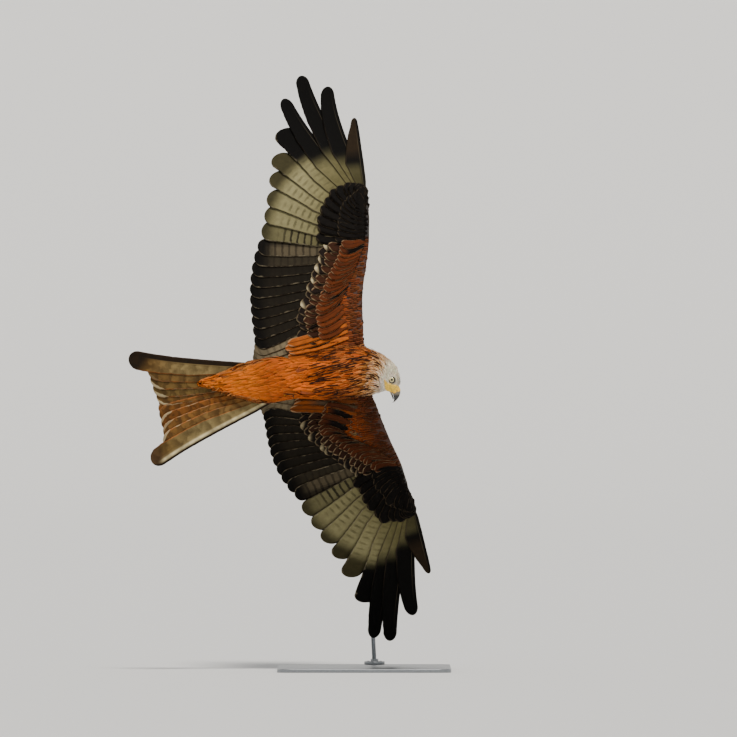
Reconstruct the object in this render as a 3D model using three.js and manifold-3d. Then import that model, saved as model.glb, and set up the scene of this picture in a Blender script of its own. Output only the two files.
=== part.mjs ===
// Red kite in a banked glide, life size, held by a curved steel rod on a flat plate.
// Millimetres, +Z up. The bird is drawn in its own axes and then banked as a whole:
// x to the head, y to its left, z out of its back.
import * as THREE from "three";
import { mergeVertices } from "three/addons/utils/BufferGeometryUtils.js";
import Module from "manifold-3d";

const wasm = await Module();
wasm.setup();

// Where the body's middle stands over the plate, and how the bird is turned there
const bodyPlace = { x: -44, y: -185, z: 690 };
const headingDeg = 8; // nose up from level, seen from the belly side
const rollDeg = 7; // past a quarter turn, so that the back faces a little upwards
const clearance = 0.3; // between parts that touch

// Display stand
const plate = { width: 400, depth: 540, thick: 8, corner: 30 };
const rod = { radius: 5, sides: 10, steps: 12, flangeRadius: 24, flangeHeight: 7, flangeSides: 24 };
const rodPath = { topX: -36, topZ: 690, pullX: -6, pullY: 60, pullZ: 618, footX: 24, footY: 232, inBody: 26 };

// Body rings along x: place, middle y, half width, top z, bottom z
const torsoRings = [
  [-166, 0, 15, 13, -14],
  [-158, 0, 22, 19, -22],
  [-140, 0, 31, 25, -32],
  [-112, 0, 42, 32, -44],
  [-78, 0, 51, 39, -55],
  [-38, 0, 57, 44, -62],
  [2, 0, 59, 46, -63],
  [32, 2, 58, 44, -57],
  [50, 4, 56, 41, -50],
  [61, 6, 53, 38, -45],
];
const neckRings = [
  [61, 6, 53, 38, -45],
  [76, 8.5, 47, 33, -39],
  [88, 8, 37, 28, -33],
  [96, 7, 27, 22, -26],
  [101, 7, 15, 13, -16],
];
const bodySides = 24;
const bodyBulge = 2.25; // exponent of the ring outline, 2 is an ellipse

// Head, in its own axes: f along the bill, l to its left, u to its crown
const headMiddle = new THREE.Vector3(104, 32.5, -4);
const headForward = new THREE.Vector3(0.216, 0.969, -0.119);
const headUp = new THREE.Vector3(0.977, -0.215, 0.026);
// Rings along f: place, half width, top, bottom
const headRings = [
  [-54, 9, 4, -13],
  [-49, 15, 9, -19],
  [-40, 19.5, 14.5, -24],
  [-26, 21.5, 19.5, -26],
  [-11, 21, 21, -24.5],
  [2, 19, 20, -21.5],
  [12, 15.5, 17, -19],
  [20, 11.5, 13, -16.5],
  [25.5, 8, 9, -14],
];
// Loose feathers that fill the throat behind the bill
const throat = { forward: 6, up: -26, long: 15, wide: 14, high: 15, detail: 9 };
const eye = { ball: 8.2, side: 11.2, lidRadius: 6.5, lidTube: 1.1, lidSide: 17.4, detail: 12 };
const brow = { forward: 3, side: 15.2, up: 9.4, long: 11.5, wide: 4.6, thick: 2.3, slopeDeg: 12 };
// Upper bill with its cere: place, half width, top, bottom
const billRings = [
  [17, 7.4, 9.4, -7.6],
  [22, 7.6, 10.4, -8],
  [27, 7.3, 10.5, -8.4],
  [31, 6.8, 9.6, -8.6],
  [36, 5.9, 7.5, -9.2],
  [41, 4.9, 3.4, -10],
  [45.5, 3.7, -2.2, -11.8],
  [48.6, 2.6, -8.4, -14.6],
  [50, 1.7, -14, -18],
  [50.3, 0.8, -18.6, -20.4],
];
const cereEnd = 31;
const billSides = 14;
const lowerBillRings = [
  [12, 6.6, -9.2, -14.6],
  [22, 6.4, -9, -14.4],
  [31, 5.4, -9.4, -13.8],
  [38, 4.2, -10, -13.4],
  [43, 2.6, -11.4, -13.8],
];
const mouthGap = 0.5;
const gape = { from: 7, to: 26, side: 14.5, wide: 9, high: 0.9, level: -8.8 };
const nostril = { forward: 28, side: 7.2, up: 2.2, long: 2.6, high: 1.4 };

// Wing skeleton, laid flat: forward and outward from the body's middle line
const shoulder = { forward: 20, out: 38, up: 28 };
const innerRiseDeg = 18;
const wings = {
  right: {
    side: -1,
    tipRiseDeg: 54,
    fingerBow: 10,
    elbow: [5, 167],
    wrist: [88, 299],
    handTip: [104, 412],
    webFront: [66, 165],
    primaryReach: [240, 241, 251, 272, 301, 349, 428, 482, 425, 316],
    primaryTurnDeg: [-74, -64, -54, -43.5, -35, -26, -18.3, -10.4, -4, 2.7],
    secondaryTips: { outer: [-159, 323], inner: [-198, 96] },
  },
  left: {
    side: 1,
    tipRiseDeg: 38,
    fingerBow: 6,
    elbow: [-29, 158],
    wrist: [90, 257],
    handTip: [113, 368],
    webFront: [84, 190],
    primaryReach: [245, 247, 258, 279, 317, 381, 489, 499, 421, 304],
    primaryTurnDeg: [-68, -57, -46.3, -35.5, -26.5, -17.7, -12.2, -7.6, -0.7, 7.2],
    secondaryTips: { outer: [-153, 302], inner: [-202, 84] },
  },
};
const bendFrom = 250; // outward distance where the wing starts to curve upwards
const bendTo = 760;
const armHalfThick = { body: 17, shoulder: 15, elbow: 10, wrist: 8.5, handTip: 4.5 };
const armSides = 12;

// Feathers: outer vane, inner vane and thickness
const slatDeg = 6.5; // each vane lies on the next like a roof slat
const primary = { count: 10, outer: 15, inner: 39, thick: 0.9, bow: -3 };
const finger = { count: 4, outer: 8.5, inner: 41, thick: 0.9 }; // the outermost primaries
const slotFiller = 22; // outer vane of the primary next to the fingers
const secondary = { count: 10, outer: 15, inner: 28, thick: 0.8, bow: 4 };
const tertial = { count: 3, outer: 13, inner: 27, thick: 0.8, bow: 5 };
const upperCovert = { arm: 9, hand: 6, outer: 11, inner: 20, thick: 0.8, reach: 0.44, high: 4.6 };
const underCovert = { arm: 9, hand: 6, outer: 11, inner: 20, thick: 0.8, reach: 0.5, high: -5 };
const alula = { count: 3, length: 96, outer: 5, inner: 12, thick: 0.9 };

// Tail
const tailRoot = new THREE.Vector3(-150, 0, 3);
const tailTurnDeg = 3.8; // swung to the bird's left
const rectrix = { pairs: 6, outer: 13, inner: 31, thick: 0.8, slatDeg: 0, step: 1.2 };
const rectrixFan = { rootSpread: 4.7, turnDeg: 3.27, bow: 8, middleInner: 20 };
const rectrixLengths = {
  right: [284, 287, 292, 296, 301, 345],
  left: [288, 289, 290, 292, 300, 342],
};
// Rump rings along the tail: place, half width, top, bottom
const rumpRings = [
  [-8, 17, 13, -15],
  [14, 25, 14, -18],
  [38, 33, 10, -15],
  [62, 41, 5, -9],
  [82, 46, 2.4, -4.2],
];
// Flank and undertail wedge, in the tail's axes: place, middle, half width, top, bottom
const wedgeRings = [
  [-56, 0, 38, -4, -30],
  [-10, -8, 50, 2, -30],
  [20, -9, 52, 3, -28],
  [50, -11, 49, 1, -24],
  [85, -15, 39, -1, -19],
  [120, -21, 27, -2, -15],
  [150, -27, 16, -3, -12],
  [178, -33, 5, -4, -8],
];
const tailCovert = { count: 5, from: 26, outer: 12, inner: 14, thick: 0.8, slatDeg: 0, step: 1.3 };
const rumpSides = 16;
const tailCovertTiers = {
  upper: { reach: 128, rootHigh: 5.6, tipHigh: 5.6, rootAcross: 20, tipAcross: 42, lean: 0, way: 1 },
  under: { reach: 166, rootHigh: -29, tipHigh: -11.5, rootAcross: 17, tipAcross: 30, lean: -0.18, way: -1 },
};

// Legs, tucked under the vent
const thigh = { x: -60, y: 25, z: -49, long: 36, wide: 17, deep: 15 };
const tarsus = { from: [-80, 26, -50], to: [-124, 20, -39], radius: 4.2 };
const palmRadius = 5.6;
const toes = [
  { turnDeg: -24, length: 25, radius: 2.9, drop: -6 },
  { turnDeg: 0, length: 31, radius: 3.1, drop: -7 },
  { turnDeg: 24, length: 24, radius: 2.9, drop: -6 },
  { turnDeg: 98, length: 9, radius: 3.1, drop: 2 },
];
const claw = { length: 13, radius: 2.1 };

const radians = THREE.MathUtils.degToRad;

function fromManifold(solid) {
  const mesh = solid.getMesh();
  const geometry = new THREE.BufferGeometry();
  geometry.setAttribute("position", new THREE.BufferAttribute(new Float32Array(mesh.vertProperties), 3));
  geometry.setIndex(Array.from(mesh.triVerts));
  return geometry;
}

function toManifold(geometry) {
  const bare = new THREE.BufferGeometry();
  bare.setAttribute("position", geometry.getAttribute("position"));
  if (geometry.index) bare.setIndex(geometry.index);
  const merged = mergeVertices(bare, 1e-4);
  return new wasm.Manifold(new wasm.Mesh({
    numProp: 3,
    vertProperties: new Float32Array(merged.getAttribute("position").array),
    triVerts: new Uint32Array(merged.index.array),
  }));
}

// A closed solid from points and triangles, turned so that its faces look outwards
function closedSolid(points, triangles) {
  let volume = 0;
  const cross = new THREE.Vector3();
  for (const [a, b, c] of triangles) {
    volume += cross.crossVectors(points[a], points[b]).dot(points[c]);
  }
  const order = volume < 0 ? triangles.map(([a, b, c]) => [a, c, b]) : triangles;
  return new wasm.Manifold(new wasm.Mesh({
    numProp: 3,
    vertProperties: new Float32Array(points.flatMap((p) => [p.x, p.y, p.z])),
    triVerts: new Uint32Array(order.flat()),
  }));
}

// Rings of equal count joined into a skin, with a fan at each end
function loft(rings) {
  const n = rings[0].length;
  const points = rings.flat();
  const triangles = [];
  for (let r = 0; r + 1 < rings.length; r++) {
    for (let i = 0; i < n; i++) {
      const a = r * n + i;
      const b = r * n + (i + 1) % n;
      triangles.push([a, b, b + n], [a, b + n, a + n]);
    }
  }
  for (const [first, flip] of [[0, true], [(rings.length - 1) * n, false]]) {
    const middle = new THREE.Vector3();
    for (let i = 0; i < n; i++) middle.addScaledVector(points[first + i], 1 / n);
    const hub = points.push(middle) - 1;
    for (let i = 0; i < n; i++) {
      const a = first + i;
      const b = first + (i + 1) % n;
      triangles.push(flip ? [hub, b, a] : [hub, a, b]);
    }
  }
  return closedSolid(points, triangles);
}

function rounded(value, power) {
  return Math.sign(value) * Math.abs(value) ** power;
}

// One ring of a body: (along, across, up) of each point, given as plain numbers
function bodyRing(along, middle, halfWidth, top, bottom, sides, extra, bulge = bodyBulge) {
  const centre = (top + bottom) / 2;
  const ring = [];
  for (let i = 0; i < sides; i++) {
    const turn = (i / sides) * 2 * Math.PI;
    const across = middle + (halfWidth + extra) * rounded(Math.cos(turn), 2 / bulge);
    const up = centre + ((top - bottom) / 2 + extra) * rounded(Math.sin(turn), 2 / bulge);
    ring.push([along, across, up]);
  }
  return ring;
}

function bodyLoft(stations, sides, extra, place, startExtra = extra, endExtra = extra) {
  const last = stations.length - 1;
  return loft(stations.map(([along, middle, halfWidth, top, bottom], i) => {
    const shift = i === 0 ? -startExtra : i === last ? endExtra : 0;
    return bodyRing(along + shift, middle, halfWidth, top, bottom, sides, extra)
      .map(([a, b, c]) => place(a, b, c));
  }));
}

const asIs = (x, y, z) => new THREE.Vector3(x, y, z);

// A round bar along a path, its radius given at each point
function bar(path, radii, sides) {
  const rings = path.map((point, i) => {
    const before = path[Math.max(0, i - 1)];
    const after = path[Math.min(path.length - 1, i + 1)];
    const way = after.clone().sub(before).normalize();
    const seed = Math.abs(way.y) < 0.8 ? new THREE.Vector3(0, 1, 0) : new THREE.Vector3(1, 0, 0);
    const across = seed.clone().cross(way).normalize();
    const up = way.clone().cross(across);
    const ring = [];
    for (let k = 0; k < sides; k++) {
      const turn = (k / sides) * 2 * Math.PI;
      ring.push(point.clone()
        .addScaledVector(across, radii[i] * Math.cos(turn))
        .addScaledVector(up, radii[i] * Math.sin(turn)));
    }
    return ring;
  });
  return loft(rings);
}

function largest(solid) {
  const pieces = solid.decompose();
  pieces.sort((a, b) => b.volume() - a.volume());
  return pieces[0];
}

function fused(pieces) {
  return wasm.Manifold.union(pieces);
}

function ellipsoid(place, long, wide, high, detail = 12) {
  const ball = new THREE.SphereGeometry(1, detail, Math.round(detail * 0.7));
  ball.scale(long, wide, high);
  ball.applyMatrix4(place);
  return toManifold(ball);
}

// Straight steps between named points
function between(points, at) {
  if (at <= points[0][0]) return points[0][1];
  for (let i = 1; i < points.length; i++) {
    if (at <= points[i][0]) {
      const share = (at - points[i - 1][0]) / (points[i][0] - points[i - 1][0]);
      return THREE.MathUtils.lerp(points[i - 1][1], points[i][1], share);
    }
  }
  return points[points.length - 1][1];
}

// The raised and curved wing surface: forward, outward along it, and height over it
function wingSurface(wing) {
  const start = radians(innerRiseDeg);
  const slope = (radians(wing.tipRiseDeg) - start) / (bendTo - bendFrom);
  return (forward, out, high) => {
    const straight = Math.min(out, bendFrom) - shoulder.out;
    const angle = start + slope * Math.max(0, out - bendFrom);
    const side = shoulder.out + straight * Math.cos(start) + (Math.sin(angle) - Math.sin(start)) / slope;
    const up = shoulder.up + straight * Math.sin(start) + (Math.cos(start) - Math.cos(angle)) / slope;
    return new THREE.Vector3(
      forward,
      wing.side * (side - high * Math.sin(angle)),
      up + high * Math.cos(angle),
    );
  };
}

// Outline of a vane: share of the length, then shares of the outer and inner vane
const roundTip = [
  [0, 0.3, 0.15],
  [0.14, 0.75, 0.6],
  [0.45, 1, 1],
  [0.8, 0.95, 0.95],
  [0.93, 0.7, 0.68],
  [1, 0.2, 0.2],
];
const tailTip = [
  [0, 0.6, 0.1],
  [0.2, 0.95, 0.32],
  [0.55, 1, 0.85],
  [0.88, 0.95, 1],
  [0.96, 0.7, 0.75],
  [1, 0.3, 0.35],
];
const shortTip = [
  [0, 0.4, 0.3],
  [0.5, 1, 1],
  [0.85, 0.85, 0.85],
  [1, 0.25, 0.25],
];
const fingerTip = [
  [0, 0.4, 0.1],
  [0.16, 0.85, 0.5],
  [0.4, 0.9, 0.9],
  [0.62, 0.88, 0.86],
  [0.8, 0.9, 0.72],
  [0.9, 0.85, 0.6],
  [0.965, 0.66, 0.48],
  [1, 0.25, 0.16],
];
// The outermost primary narrows early, along its inner vane
const bladeTip = [
  [0, 0.4, 0.1],
  [0.16, 0.85, 0.5],
  [0.4, 0.9, 0.85],
  [0.6, 0.85, 0.7],
  [0.76, 0.85, 0.5],
  [0.88, 0.75, 0.3],
  [0.955, 0.6, 0.2],
  [1, 0.25, 0.08],
];

// One feather blade: a thin closed strip along its shaft. The inner vane lies on the
// left of the way from root to tip, and is lower than the outer one by the slat angle.
function vane(place, root, tip, shape, size) {
  const way = new THREE.Vector2(tip[0] - root[0], tip[1] - root[1]);
  const length = way.length();
  way.normalize();
  const inner = new THREE.Vector2(-way.y, way.x);
  const lean = Math.tan(radians(size.slatDeg ?? slatDeg));
  const points = [];
  for (const [share, outerShare, innerShare] of shape) {
    const bow = (size.bow ?? 0) * 6.75 * share * share * (1 - share);
    const thick = size.thick * (1 - 0.4 * share) / 2;
    const level = THREE.MathUtils.lerp(size.rootHigh, size.tipHigh, share);
    for (const [across, face] of [
      [-size.outer * outerShare, 1],
      [size.inner * innerShare, 1],
      [size.inner * innerShare, -1],
      [-size.outer * outerShare, -1],
    ]) {
      points.push(place(
        root[0] + way.x * length * share + inner.x * (across + bow),
        root[1] + way.y * length * share + inner.y * (across + bow),
        level - across * lean + face * thick,
      ));
    }
  }
  const triangles = [[0, 1, 2], [0, 2, 3]];
  for (let r = 0; r + 1 < shape.length; r++) {
    const a = 4 * r;
    const b = a + 4;
    triangles.push([a, b, b + 1], [a, b + 1, a + 1]);
    triangles.push([a + 3, b + 2, b + 3], [a + 3, a + 2, b + 2]);
    triangles.push([a + 1, b + 1, b + 2], [a + 1, b + 2, a + 2]);
    triangles.push([a, b + 3, b], [a, a + 3, b + 3]);
  }
  const e = 4 * (shape.length - 1);
  triangles.push([e, e + 2, e + 1], [e, e + 3, e + 2]);
  return closedSolid(points, triangles);
}

function wingLines(wing) {
  const [elbowForward, elbowOut] = wing.elbow;
  const [wristForward, wristOut] = wing.wrist;
  const [tipForward, tipOut] = wing.handTip;
  const front = [
    [0, 50],
    [shoulder.out, 54],
    [wing.webFront[1], wing.webFront[0]],
    [wristOut, wristForward + 12],
    [wristOut + 50, wristForward + 18],
    [tipOut, tipForward + 6],
    [tipOut + 14, tipForward + 3],
  ];
  const back = [
    [0, -34],
    [shoulder.out, shoulder.forward - 54],
    [elbowOut, elbowForward - 30],
    [wristOut, wristForward - 22],
    [tipOut, tipForward - 14],
    [tipOut + 14, tipForward - 4],
  ];
  const thick = [
    [0, armHalfThick.body],
    [shoulder.out, armHalfThick.shoulder],
    [elbowOut, armHalfThick.elbow],
    [wristOut, armHalfThick.wrist],
    [tipOut, armHalfThick.handTip],
    [tipOut + 14, armHalfThick.handTip / 2],
  ];
  return { front, back, thick, end: tipOut + 14 };
}

// The fleshy arm and hand, thick in front and thinning to the feather roots
function armCore(wing, place) {
  const { front, back, thick, end } = wingLines(wing);
  const stations = [6, shoulder.out, 62, 90, 120, 150, 180, 210, 235, 258, 280, 305, 335, 368, end];
  const rings = stations.filter((out) => out <= end).map((out) => {
    const f = between(front, out);
    const b = between(back, out);
    const half = between(thick, out);
    const ring = [];
    for (let i = 0; i < armSides; i++) {
      const turn = (i / armSides) * 2 * Math.PI;
      const along = (f + b) / 2 + ((f - b) / 2) * Math.cos(turn);
      const taper = 0.66 + 0.34 * Math.cos(turn);
      ring.push(place(along, out, half * taper * Math.sin(turn)));
    }
    return ring;
  });
  return loft(rings);
}

function polarTip(from, reach, turnDeg) {
  return [from[0] + reach * Math.sin(radians(turnDeg)), from[1] + reach * Math.cos(radians(turnDeg))];
}

function mixed(a, b, share) {
  return [THREE.MathUtils.lerp(a[0], b[0], share), THREE.MathUtils.lerp(a[1], b[1], share)];
}

// Root and tip of every flight feather of a wing, counted from the innermost
function flightFeathers(wing) {
  const list = [];
  for (let j = 0; j < tertial.count; j++) {
    const share = (j + 0.5) / tertial.count;
    const root = mixed([shoulder.forward - 26, shoulder.out + 34], [wing.elbow[0] - 12, wing.elbow[1] - 16], share);
    const inner = wing.secondaryTips.inner;
    const tip = [inner[0] - 10 + 9 * share, inner[1] - 40 + 32 * share];
    list.push({ kind: "tertial", root, tip, size: tertial, shape: roundTip });
  }
  const wristRoot = [wing.wrist[0] - 10, wing.wrist[1] - 8];
  const elbowRoot = [wing.elbow[0] - 12, wing.elbow[1] - 4];
  for (let j = 0; j < secondary.count; j++) {
    const share = j / (secondary.count - 1);
    const { outer, inner } = wing.secondaryTips;
    const droop = share ** 3;
    const tip = [THREE.MathUtils.lerp(inner[0], outer[0], droop), THREE.MathUtils.lerp(inner[1], outer[1], share)];
    list.push({ kind: "secondary", root: mixed(elbowRoot, wristRoot, share), tip, size: secondary, shape: roundTip });
  }
  const handRoot = [wing.wrist[0] - 6, wing.wrist[1] + 5];
  const handEnd = [wing.handTip[0] - 2, wing.handTip[1] - 2];
  for (let j = 0; j < primary.count; j++) {
    const isFinger = j >= primary.count - finger.count;
    const isNext = j === primary.count - finger.count - 1;
    const isLast = j === primary.count - 1;
    const fingerShape = isLast ? bladeTip : fingerTip;
    list.push({
      kind: "primary",
      root: mixed(handRoot, handEnd, j / (primary.count - 1)),
      tip: polarTip(wing.wrist, wing.primaryReach[j], wing.primaryTurnDeg[j]),
      size: isFinger
        ? { ...finger, bow: isLast ? 0 : wing.fingerBow }
        : { ...primary, outer: isNext ? slotFiller : primary.outer },
      shape: isFinger ? fingerShape : roundTip,
    });
  }
  return list;
}

// Coverts follow the flight feathers: their roots stand a little forward of those
function covertTier(feathers, kinds, count, covert, place) {
  const chosen = feathers.filter((feather) => kinds.includes(feather.kind));
  const list = [];
  for (let j = 0; j < count; j++) {
    const at = (j / (count - 1)) * (chosen.length - 1);
    const low = Math.min(chosen.length - 2, Math.floor(at));
    const root = mixed(chosen[low].root, chosen[low + 1].root, at - low);
    const tip = mixed(chosen[low].tip, chosen[low + 1].tip, at - low);
    const way = new THREE.Vector2(tip[0] - root[0], tip[1] - root[1]);
    const length = way.length();
    way.normalize();
    const start = [root[0] - way.x * 6, root[1] - way.y * 6];
    const reach = Math.min(covert.reach * length, 118);
    const end = [root[0] + way.x * reach, root[1] + way.y * reach];
    list.push(vane(place, start, end, shortTip, {
      ...covert,
      rootHigh: covert.high * 0.5,
      tipHigh: covert.high * 1.2,
    }));
  }
  return list;
}

function alulaFeathers(wing, place) {
  const list = [];
  for (let j = 0; j < alula.count; j++) {
    const root = [wing.wrist[0] + 9 - 2 * j, wing.wrist[1] + 14 - 5 * j];
    const tip = polarTip(root, alula.length - 20 * j, 4 - 7 * j);
    list.push(vane(place, root, tip, shortTip, { ...alula, rootHigh: 4 + 1.4 * j, tipHigh: 5.4 + 1.4 * j }));
  }
  return list;
}

function wingSolid(wing, keepOut) {
  const place = wingSurface(wing);
  const feathers = flightFeathers(wing);
  const pieces = [armCore(wing, place)];
  for (const feather of feathers) {
    pieces.push(vane(place, feather.root, feather.tip, feather.shape, {
      ...feather.size,
      rootHigh: 0,
      tipHigh: 0,
    }));
  }
  pieces.push(...covertTier(feathers, ["tertial", "secondary"], upperCovert.arm, upperCovert, place));
  pieces.push(...covertTier(feathers, ["primary"], upperCovert.hand, upperCovert, place));
  pieces.push(...covertTier(feathers, ["tertial", "secondary"], underCovert.arm, underCovert, place));
  pieces.push(...covertTier(feathers, ["primary"], underCovert.hand, underCovert, place));
  pieces.push(...alulaFeathers(wing, place));
  return largest(fused(pieces).subtract(keepOut)).simplify(0.02);
}

// The tail's own plane: along it, across it and over it
function tailSurface(side) {
  const turn = radians(tailTurnDeg);
  return (along, across, high) => {
    const out = -side * across;
    return new THREE.Vector3(
      tailRoot.x - along * Math.cos(turn) + out * Math.sin(turn),
      tailRoot.y + along * Math.sin(turn) + out * Math.cos(turn),
      tailRoot.z + high,
    );
  };
}

function tailSolid(keepOut) {
  const pieces = [
    bodyLoft(rumpRings.map(([a, w, t, b]) => [a, 0, w, t, b]), rumpSides, 0, tailSurface(-1)),
    bodyLoft(wedgeRings, rumpSides, 0, tailSurface(-1)),
  ];
  for (const [name, side] of [["right", -1], ["left", 1]]) {
    const place = tailSurface(side);
    for (let k = 0; k < rectrix.pairs; k++) {
      const rootAcross = -(k + 0.5) * rectrixFan.rootSpread;
      const turn = radians((k + 0.5) * rectrixFan.turnDeg);
      const length = rectrixLengths[name][k];
      const tip = [length * Math.cos(turn), rootAcross - length * Math.sin(turn)];
      const level = -rectrix.step * (k === 0 && side < 0 ? -1 : k);
      pieces.push(vane(place, [4, rootAcross], tip, tailTip, {
        ...rectrix,
        inner: k === 0 ? rectrixFan.middleInner : rectrix.inner,
        bow: rectrixFan.bow * (k / rectrix.pairs),
        rootHigh: level,
        tipHigh: level,
      }));
    }
  }
  const covertPlace = tailSurface(-1);
  for (const tier of Object.values(tailCovertTiers)) {
    for (let k = 0; k < tailCovert.count; k++) {
      const share = (k / (tailCovert.count - 1)) * 2 - 1;
      const length = tier.reach * (1 - 0.3 * share * share);
      const sink = tier.way * tailCovert.step * Math.round(4 * Math.abs(share) + (share > 0 ? 1 : 0)) / 2;
      pieces.push(vane(
        covertPlace,
        [tailCovert.from, tier.rootAcross * share + tier.lean * tailCovert.from],
        [length, tier.tipAcross * share + tier.lean * length],
        shortTip,
        { ...tailCovert, rootHigh: tier.rootHigh - sink, tipHigh: tier.tipHigh - sink },
      ));
    }
  }
  return largest(fused(pieces).subtract(keepOut)).simplify(0.02);
}

const headMatrix = new THREE.Matrix4();
{
  const forward = headForward.clone().normalize();
  const left = headUp.clone().cross(forward).normalize();
  const up = forward.clone().cross(left);
  headMatrix.makeBasis(forward, left, up).setPosition(headMiddle);
}
const inHead = (f, l, u) => new THREE.Vector3(f, l, u).applyMatrix4(headMatrix);

function headPlace(f, l, u, tiltDeg = 0) {
  const turn = new THREE.Matrix4().makeRotationY(radians(tiltDeg)).setPosition(f, l, u);
  return headMatrix.clone().multiply(turn);
}

function headBall(extra) {
  return bodyLoft(headRings.map(([f, w, t, b]) => [f, 0, w, t, b]), bodySides, extra, inHead);
}

function throatSolid(extra) {
  const place = headPlace(throat.forward, 0, throat.up);
  return ellipsoid(place, throat.long + extra, throat.wide + extra, throat.high + extra, throat.detail);
}

function upperBill(extra) {
  return bodyLoft(billRings.map(([f, w, t, b]) => [f, 0, w, t, b]), billSides, extra, inHead);
}

function lowerBill(extra) {
  return bodyLoft(lowerBillRings.map(([f, w, t, b]) => [f, 0, w, t, b]), billSides, extra, inHead);
}

function eyeBall(side, extra) {
  return ellipsoid(headPlace(0, side * eye.side, 0), eye.ball + extra, eye.ball + extra, eye.ball + extra, eye.detail);
}

function headSolid() {
  let head = headBall(0).add(throatSolid(0));
  for (const side of [-1, 1]) {
    head = head.add(ellipsoid(
      headPlace(brow.forward, side * brow.side, brow.up, brow.slopeDeg),
      brow.long, brow.wide, brow.thick, 10,
    ));
    const lid = new THREE.TorusGeometry(eye.lidRadius, eye.lidTube, 5, 14);
    lid.rotateX(Math.PI / 2);
    lid.applyMatrix4(headPlace(0, side * eye.lidSide, 0));
    head = head.add(toManifold(lid));
  }
  for (const side of [-1, 1]) {
    head = head.subtract(eyeBall(side, clearance));
    const slot = new THREE.BoxGeometry(gape.to - gape.from, gape.wide, gape.high);
    slot.applyMatrix4(headPlace((gape.from + gape.to) / 2, side * gape.side, gape.level));
    head = head.subtract(toManifold(slot));
  }
  head = head.subtract(upperBill(clearance)).subtract(lowerBill(clearance));
  return largest(head).simplify(0.02);
}

// A slab across the bill, used to part it from its cere
function billSlab(from, to) {
  const slab = new THREE.BoxGeometry(to - from, 60, 60);
  slab.applyMatrix4(headPlace((from + to) / 2, 0, 0));
  return toManifold(slab);
}

function cereSolid() {
  let cere = upperBill(0).intersect(billSlab(0, cereEnd - clearance / 2));
  for (const side of [-1, 1]) {
    cere = cere.subtract(ellipsoid(
      headPlace(nostril.forward, side * nostril.side, nostril.up),
      nostril.long, 2, nostril.high, 10,
    ));
  }
  return largest(cere);
}

function upperBillSolid() {
  return largest(upperBill(0).intersect(billSlab(cereEnd + clearance / 2, 80)));
}

function lowerBillSolid() {
  return largest(lowerBill(0).subtract(upperBill(mouthGap)));
}

function legSolid(side, keepOut, extra) {
  const middle = new THREE.Matrix4().setPosition(thigh.x, side * thigh.y, thigh.z);
  const upper = ellipsoid(middle, thigh.long + extra, thigh.wide + extra, thigh.deep + extra, 14);
  const from = new THREE.Vector3(tarsus.from[0], side * tarsus.from[1], tarsus.from[2]);
  const to = new THREE.Vector3(tarsus.to[0], side * tarsus.to[1], tarsus.to[2]);
  to.addScaledVector(to.clone().sub(from).normalize(), extra);
  const shin = bar([from, to], [tarsus.radius + extra, tarsus.radius + extra], 10);
  return largest(upper.add(shin).subtract(keepOut));
}

// Path of a half clenched toe, from the palm backwards and down
function toePath(side, toe, extra) {
  const palm = new THREE.Vector3(tarsus.to[0] - 3, side * tarsus.to[1], tarsus.to[2]);
  const turn = radians(toe.turnDeg);
  const way = new THREE.Vector3(-Math.cos(turn), side * Math.sin(turn), 0);
  const steps = [0, 0.45, 0.8, 1];
  return steps.map((share) => palm.clone()
    .addScaledVector(way, (toe.length + extra) * share)
    .add(new THREE.Vector3(0, 0, -toe.drop * share ** 2)));
}

function toeBar(side, toe, extra) {
  const r = toe.radius + extra;
  return bar(toePath(side, toe, extra), [r * 1.05, r, r * 0.92, r * 0.8], 7);
}

function footSolid(side, keepOut, leg, extra) {
  const palm = new THREE.Matrix4().setPosition(tarsus.to[0] - 3, side * tarsus.to[1], tarsus.to[2]);
  const pieces = [ellipsoid(palm, palmRadius + extra, palmRadius + extra, palmRadius + extra, 9)];
  for (const toe of toes) pieces.push(toeBar(side, toe, extra));
  let foot = fused(pieces);
  if (leg) foot = foot.subtract(leg).subtract(keepOut);
  return largest(foot);
}

function clawSolid(side, toe, foot) {
  const path = toePath(side, toe, 0);
  const end = path[path.length - 1];
  const way = end.clone().sub(path[path.length - 2]).normalize();
  const down = new THREE.Vector3(0, 0, -1);
  const points = [-0.2, 0.25, 0.6, 0.85, 1].map((share) => end.clone()
    .addScaledVector(way, claw.length * share * (1 - 0.25 * share))
    .addScaledVector(down, claw.length * 0.6 * Math.max(0, share) ** 2));
  const radii = [1, 0.95, 0.7, 0.42, 0.14].map((share) => share * claw.radius);
  return largest(bar(points, radii, 6).subtract(foot));
}

const bird = new THREE.Group();
bird.name = "bird";
bird.rotation.order = "YXZ";
bird.rotation.set(radians(rollDeg - 90), radians(-headingDeg), 0);
bird.position.set(bodyPlace.x, bodyPlace.y, bodyPlace.z);
bird.updateMatrixWorld(true);

const model = new THREE.Group();
model.name = "red_kite";
model.add(bird);

const looks = {
  belly: { color: 0xb0652f, roughness: 0.85, metalness: 0 },
  neck: { color: 0xc08a5a, roughness: 0.85, metalness: 0 },
  head: { color: 0xc9c1b2, roughness: 0.85, metalness: 0 },
  wing: { color: 0x3a2c24, roughness: 0.8, metalness: 0 },
  tail: { color: 0xa9713f, roughness: 0.8, metalness: 0 },
  yellow: { color: 0xe2b32c, roughness: 0.5, metalness: 0 },
  horn: { color: 0x23201e, roughness: 0.35, metalness: 0 },
  eye: { color: 0xd8cf9a, roughness: 0.15, metalness: 0 },
  steel: { color: 0x8d9196, roughness: 0.45, metalness: 0.8 },
};

function addPart(group, name, solid, look) {
  const mesh = new THREE.Mesh(fromManifold(solid), new THREE.MeshStandardMaterial(looks[look]));
  mesh.name = name;
  group.add(mesh);
}

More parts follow.
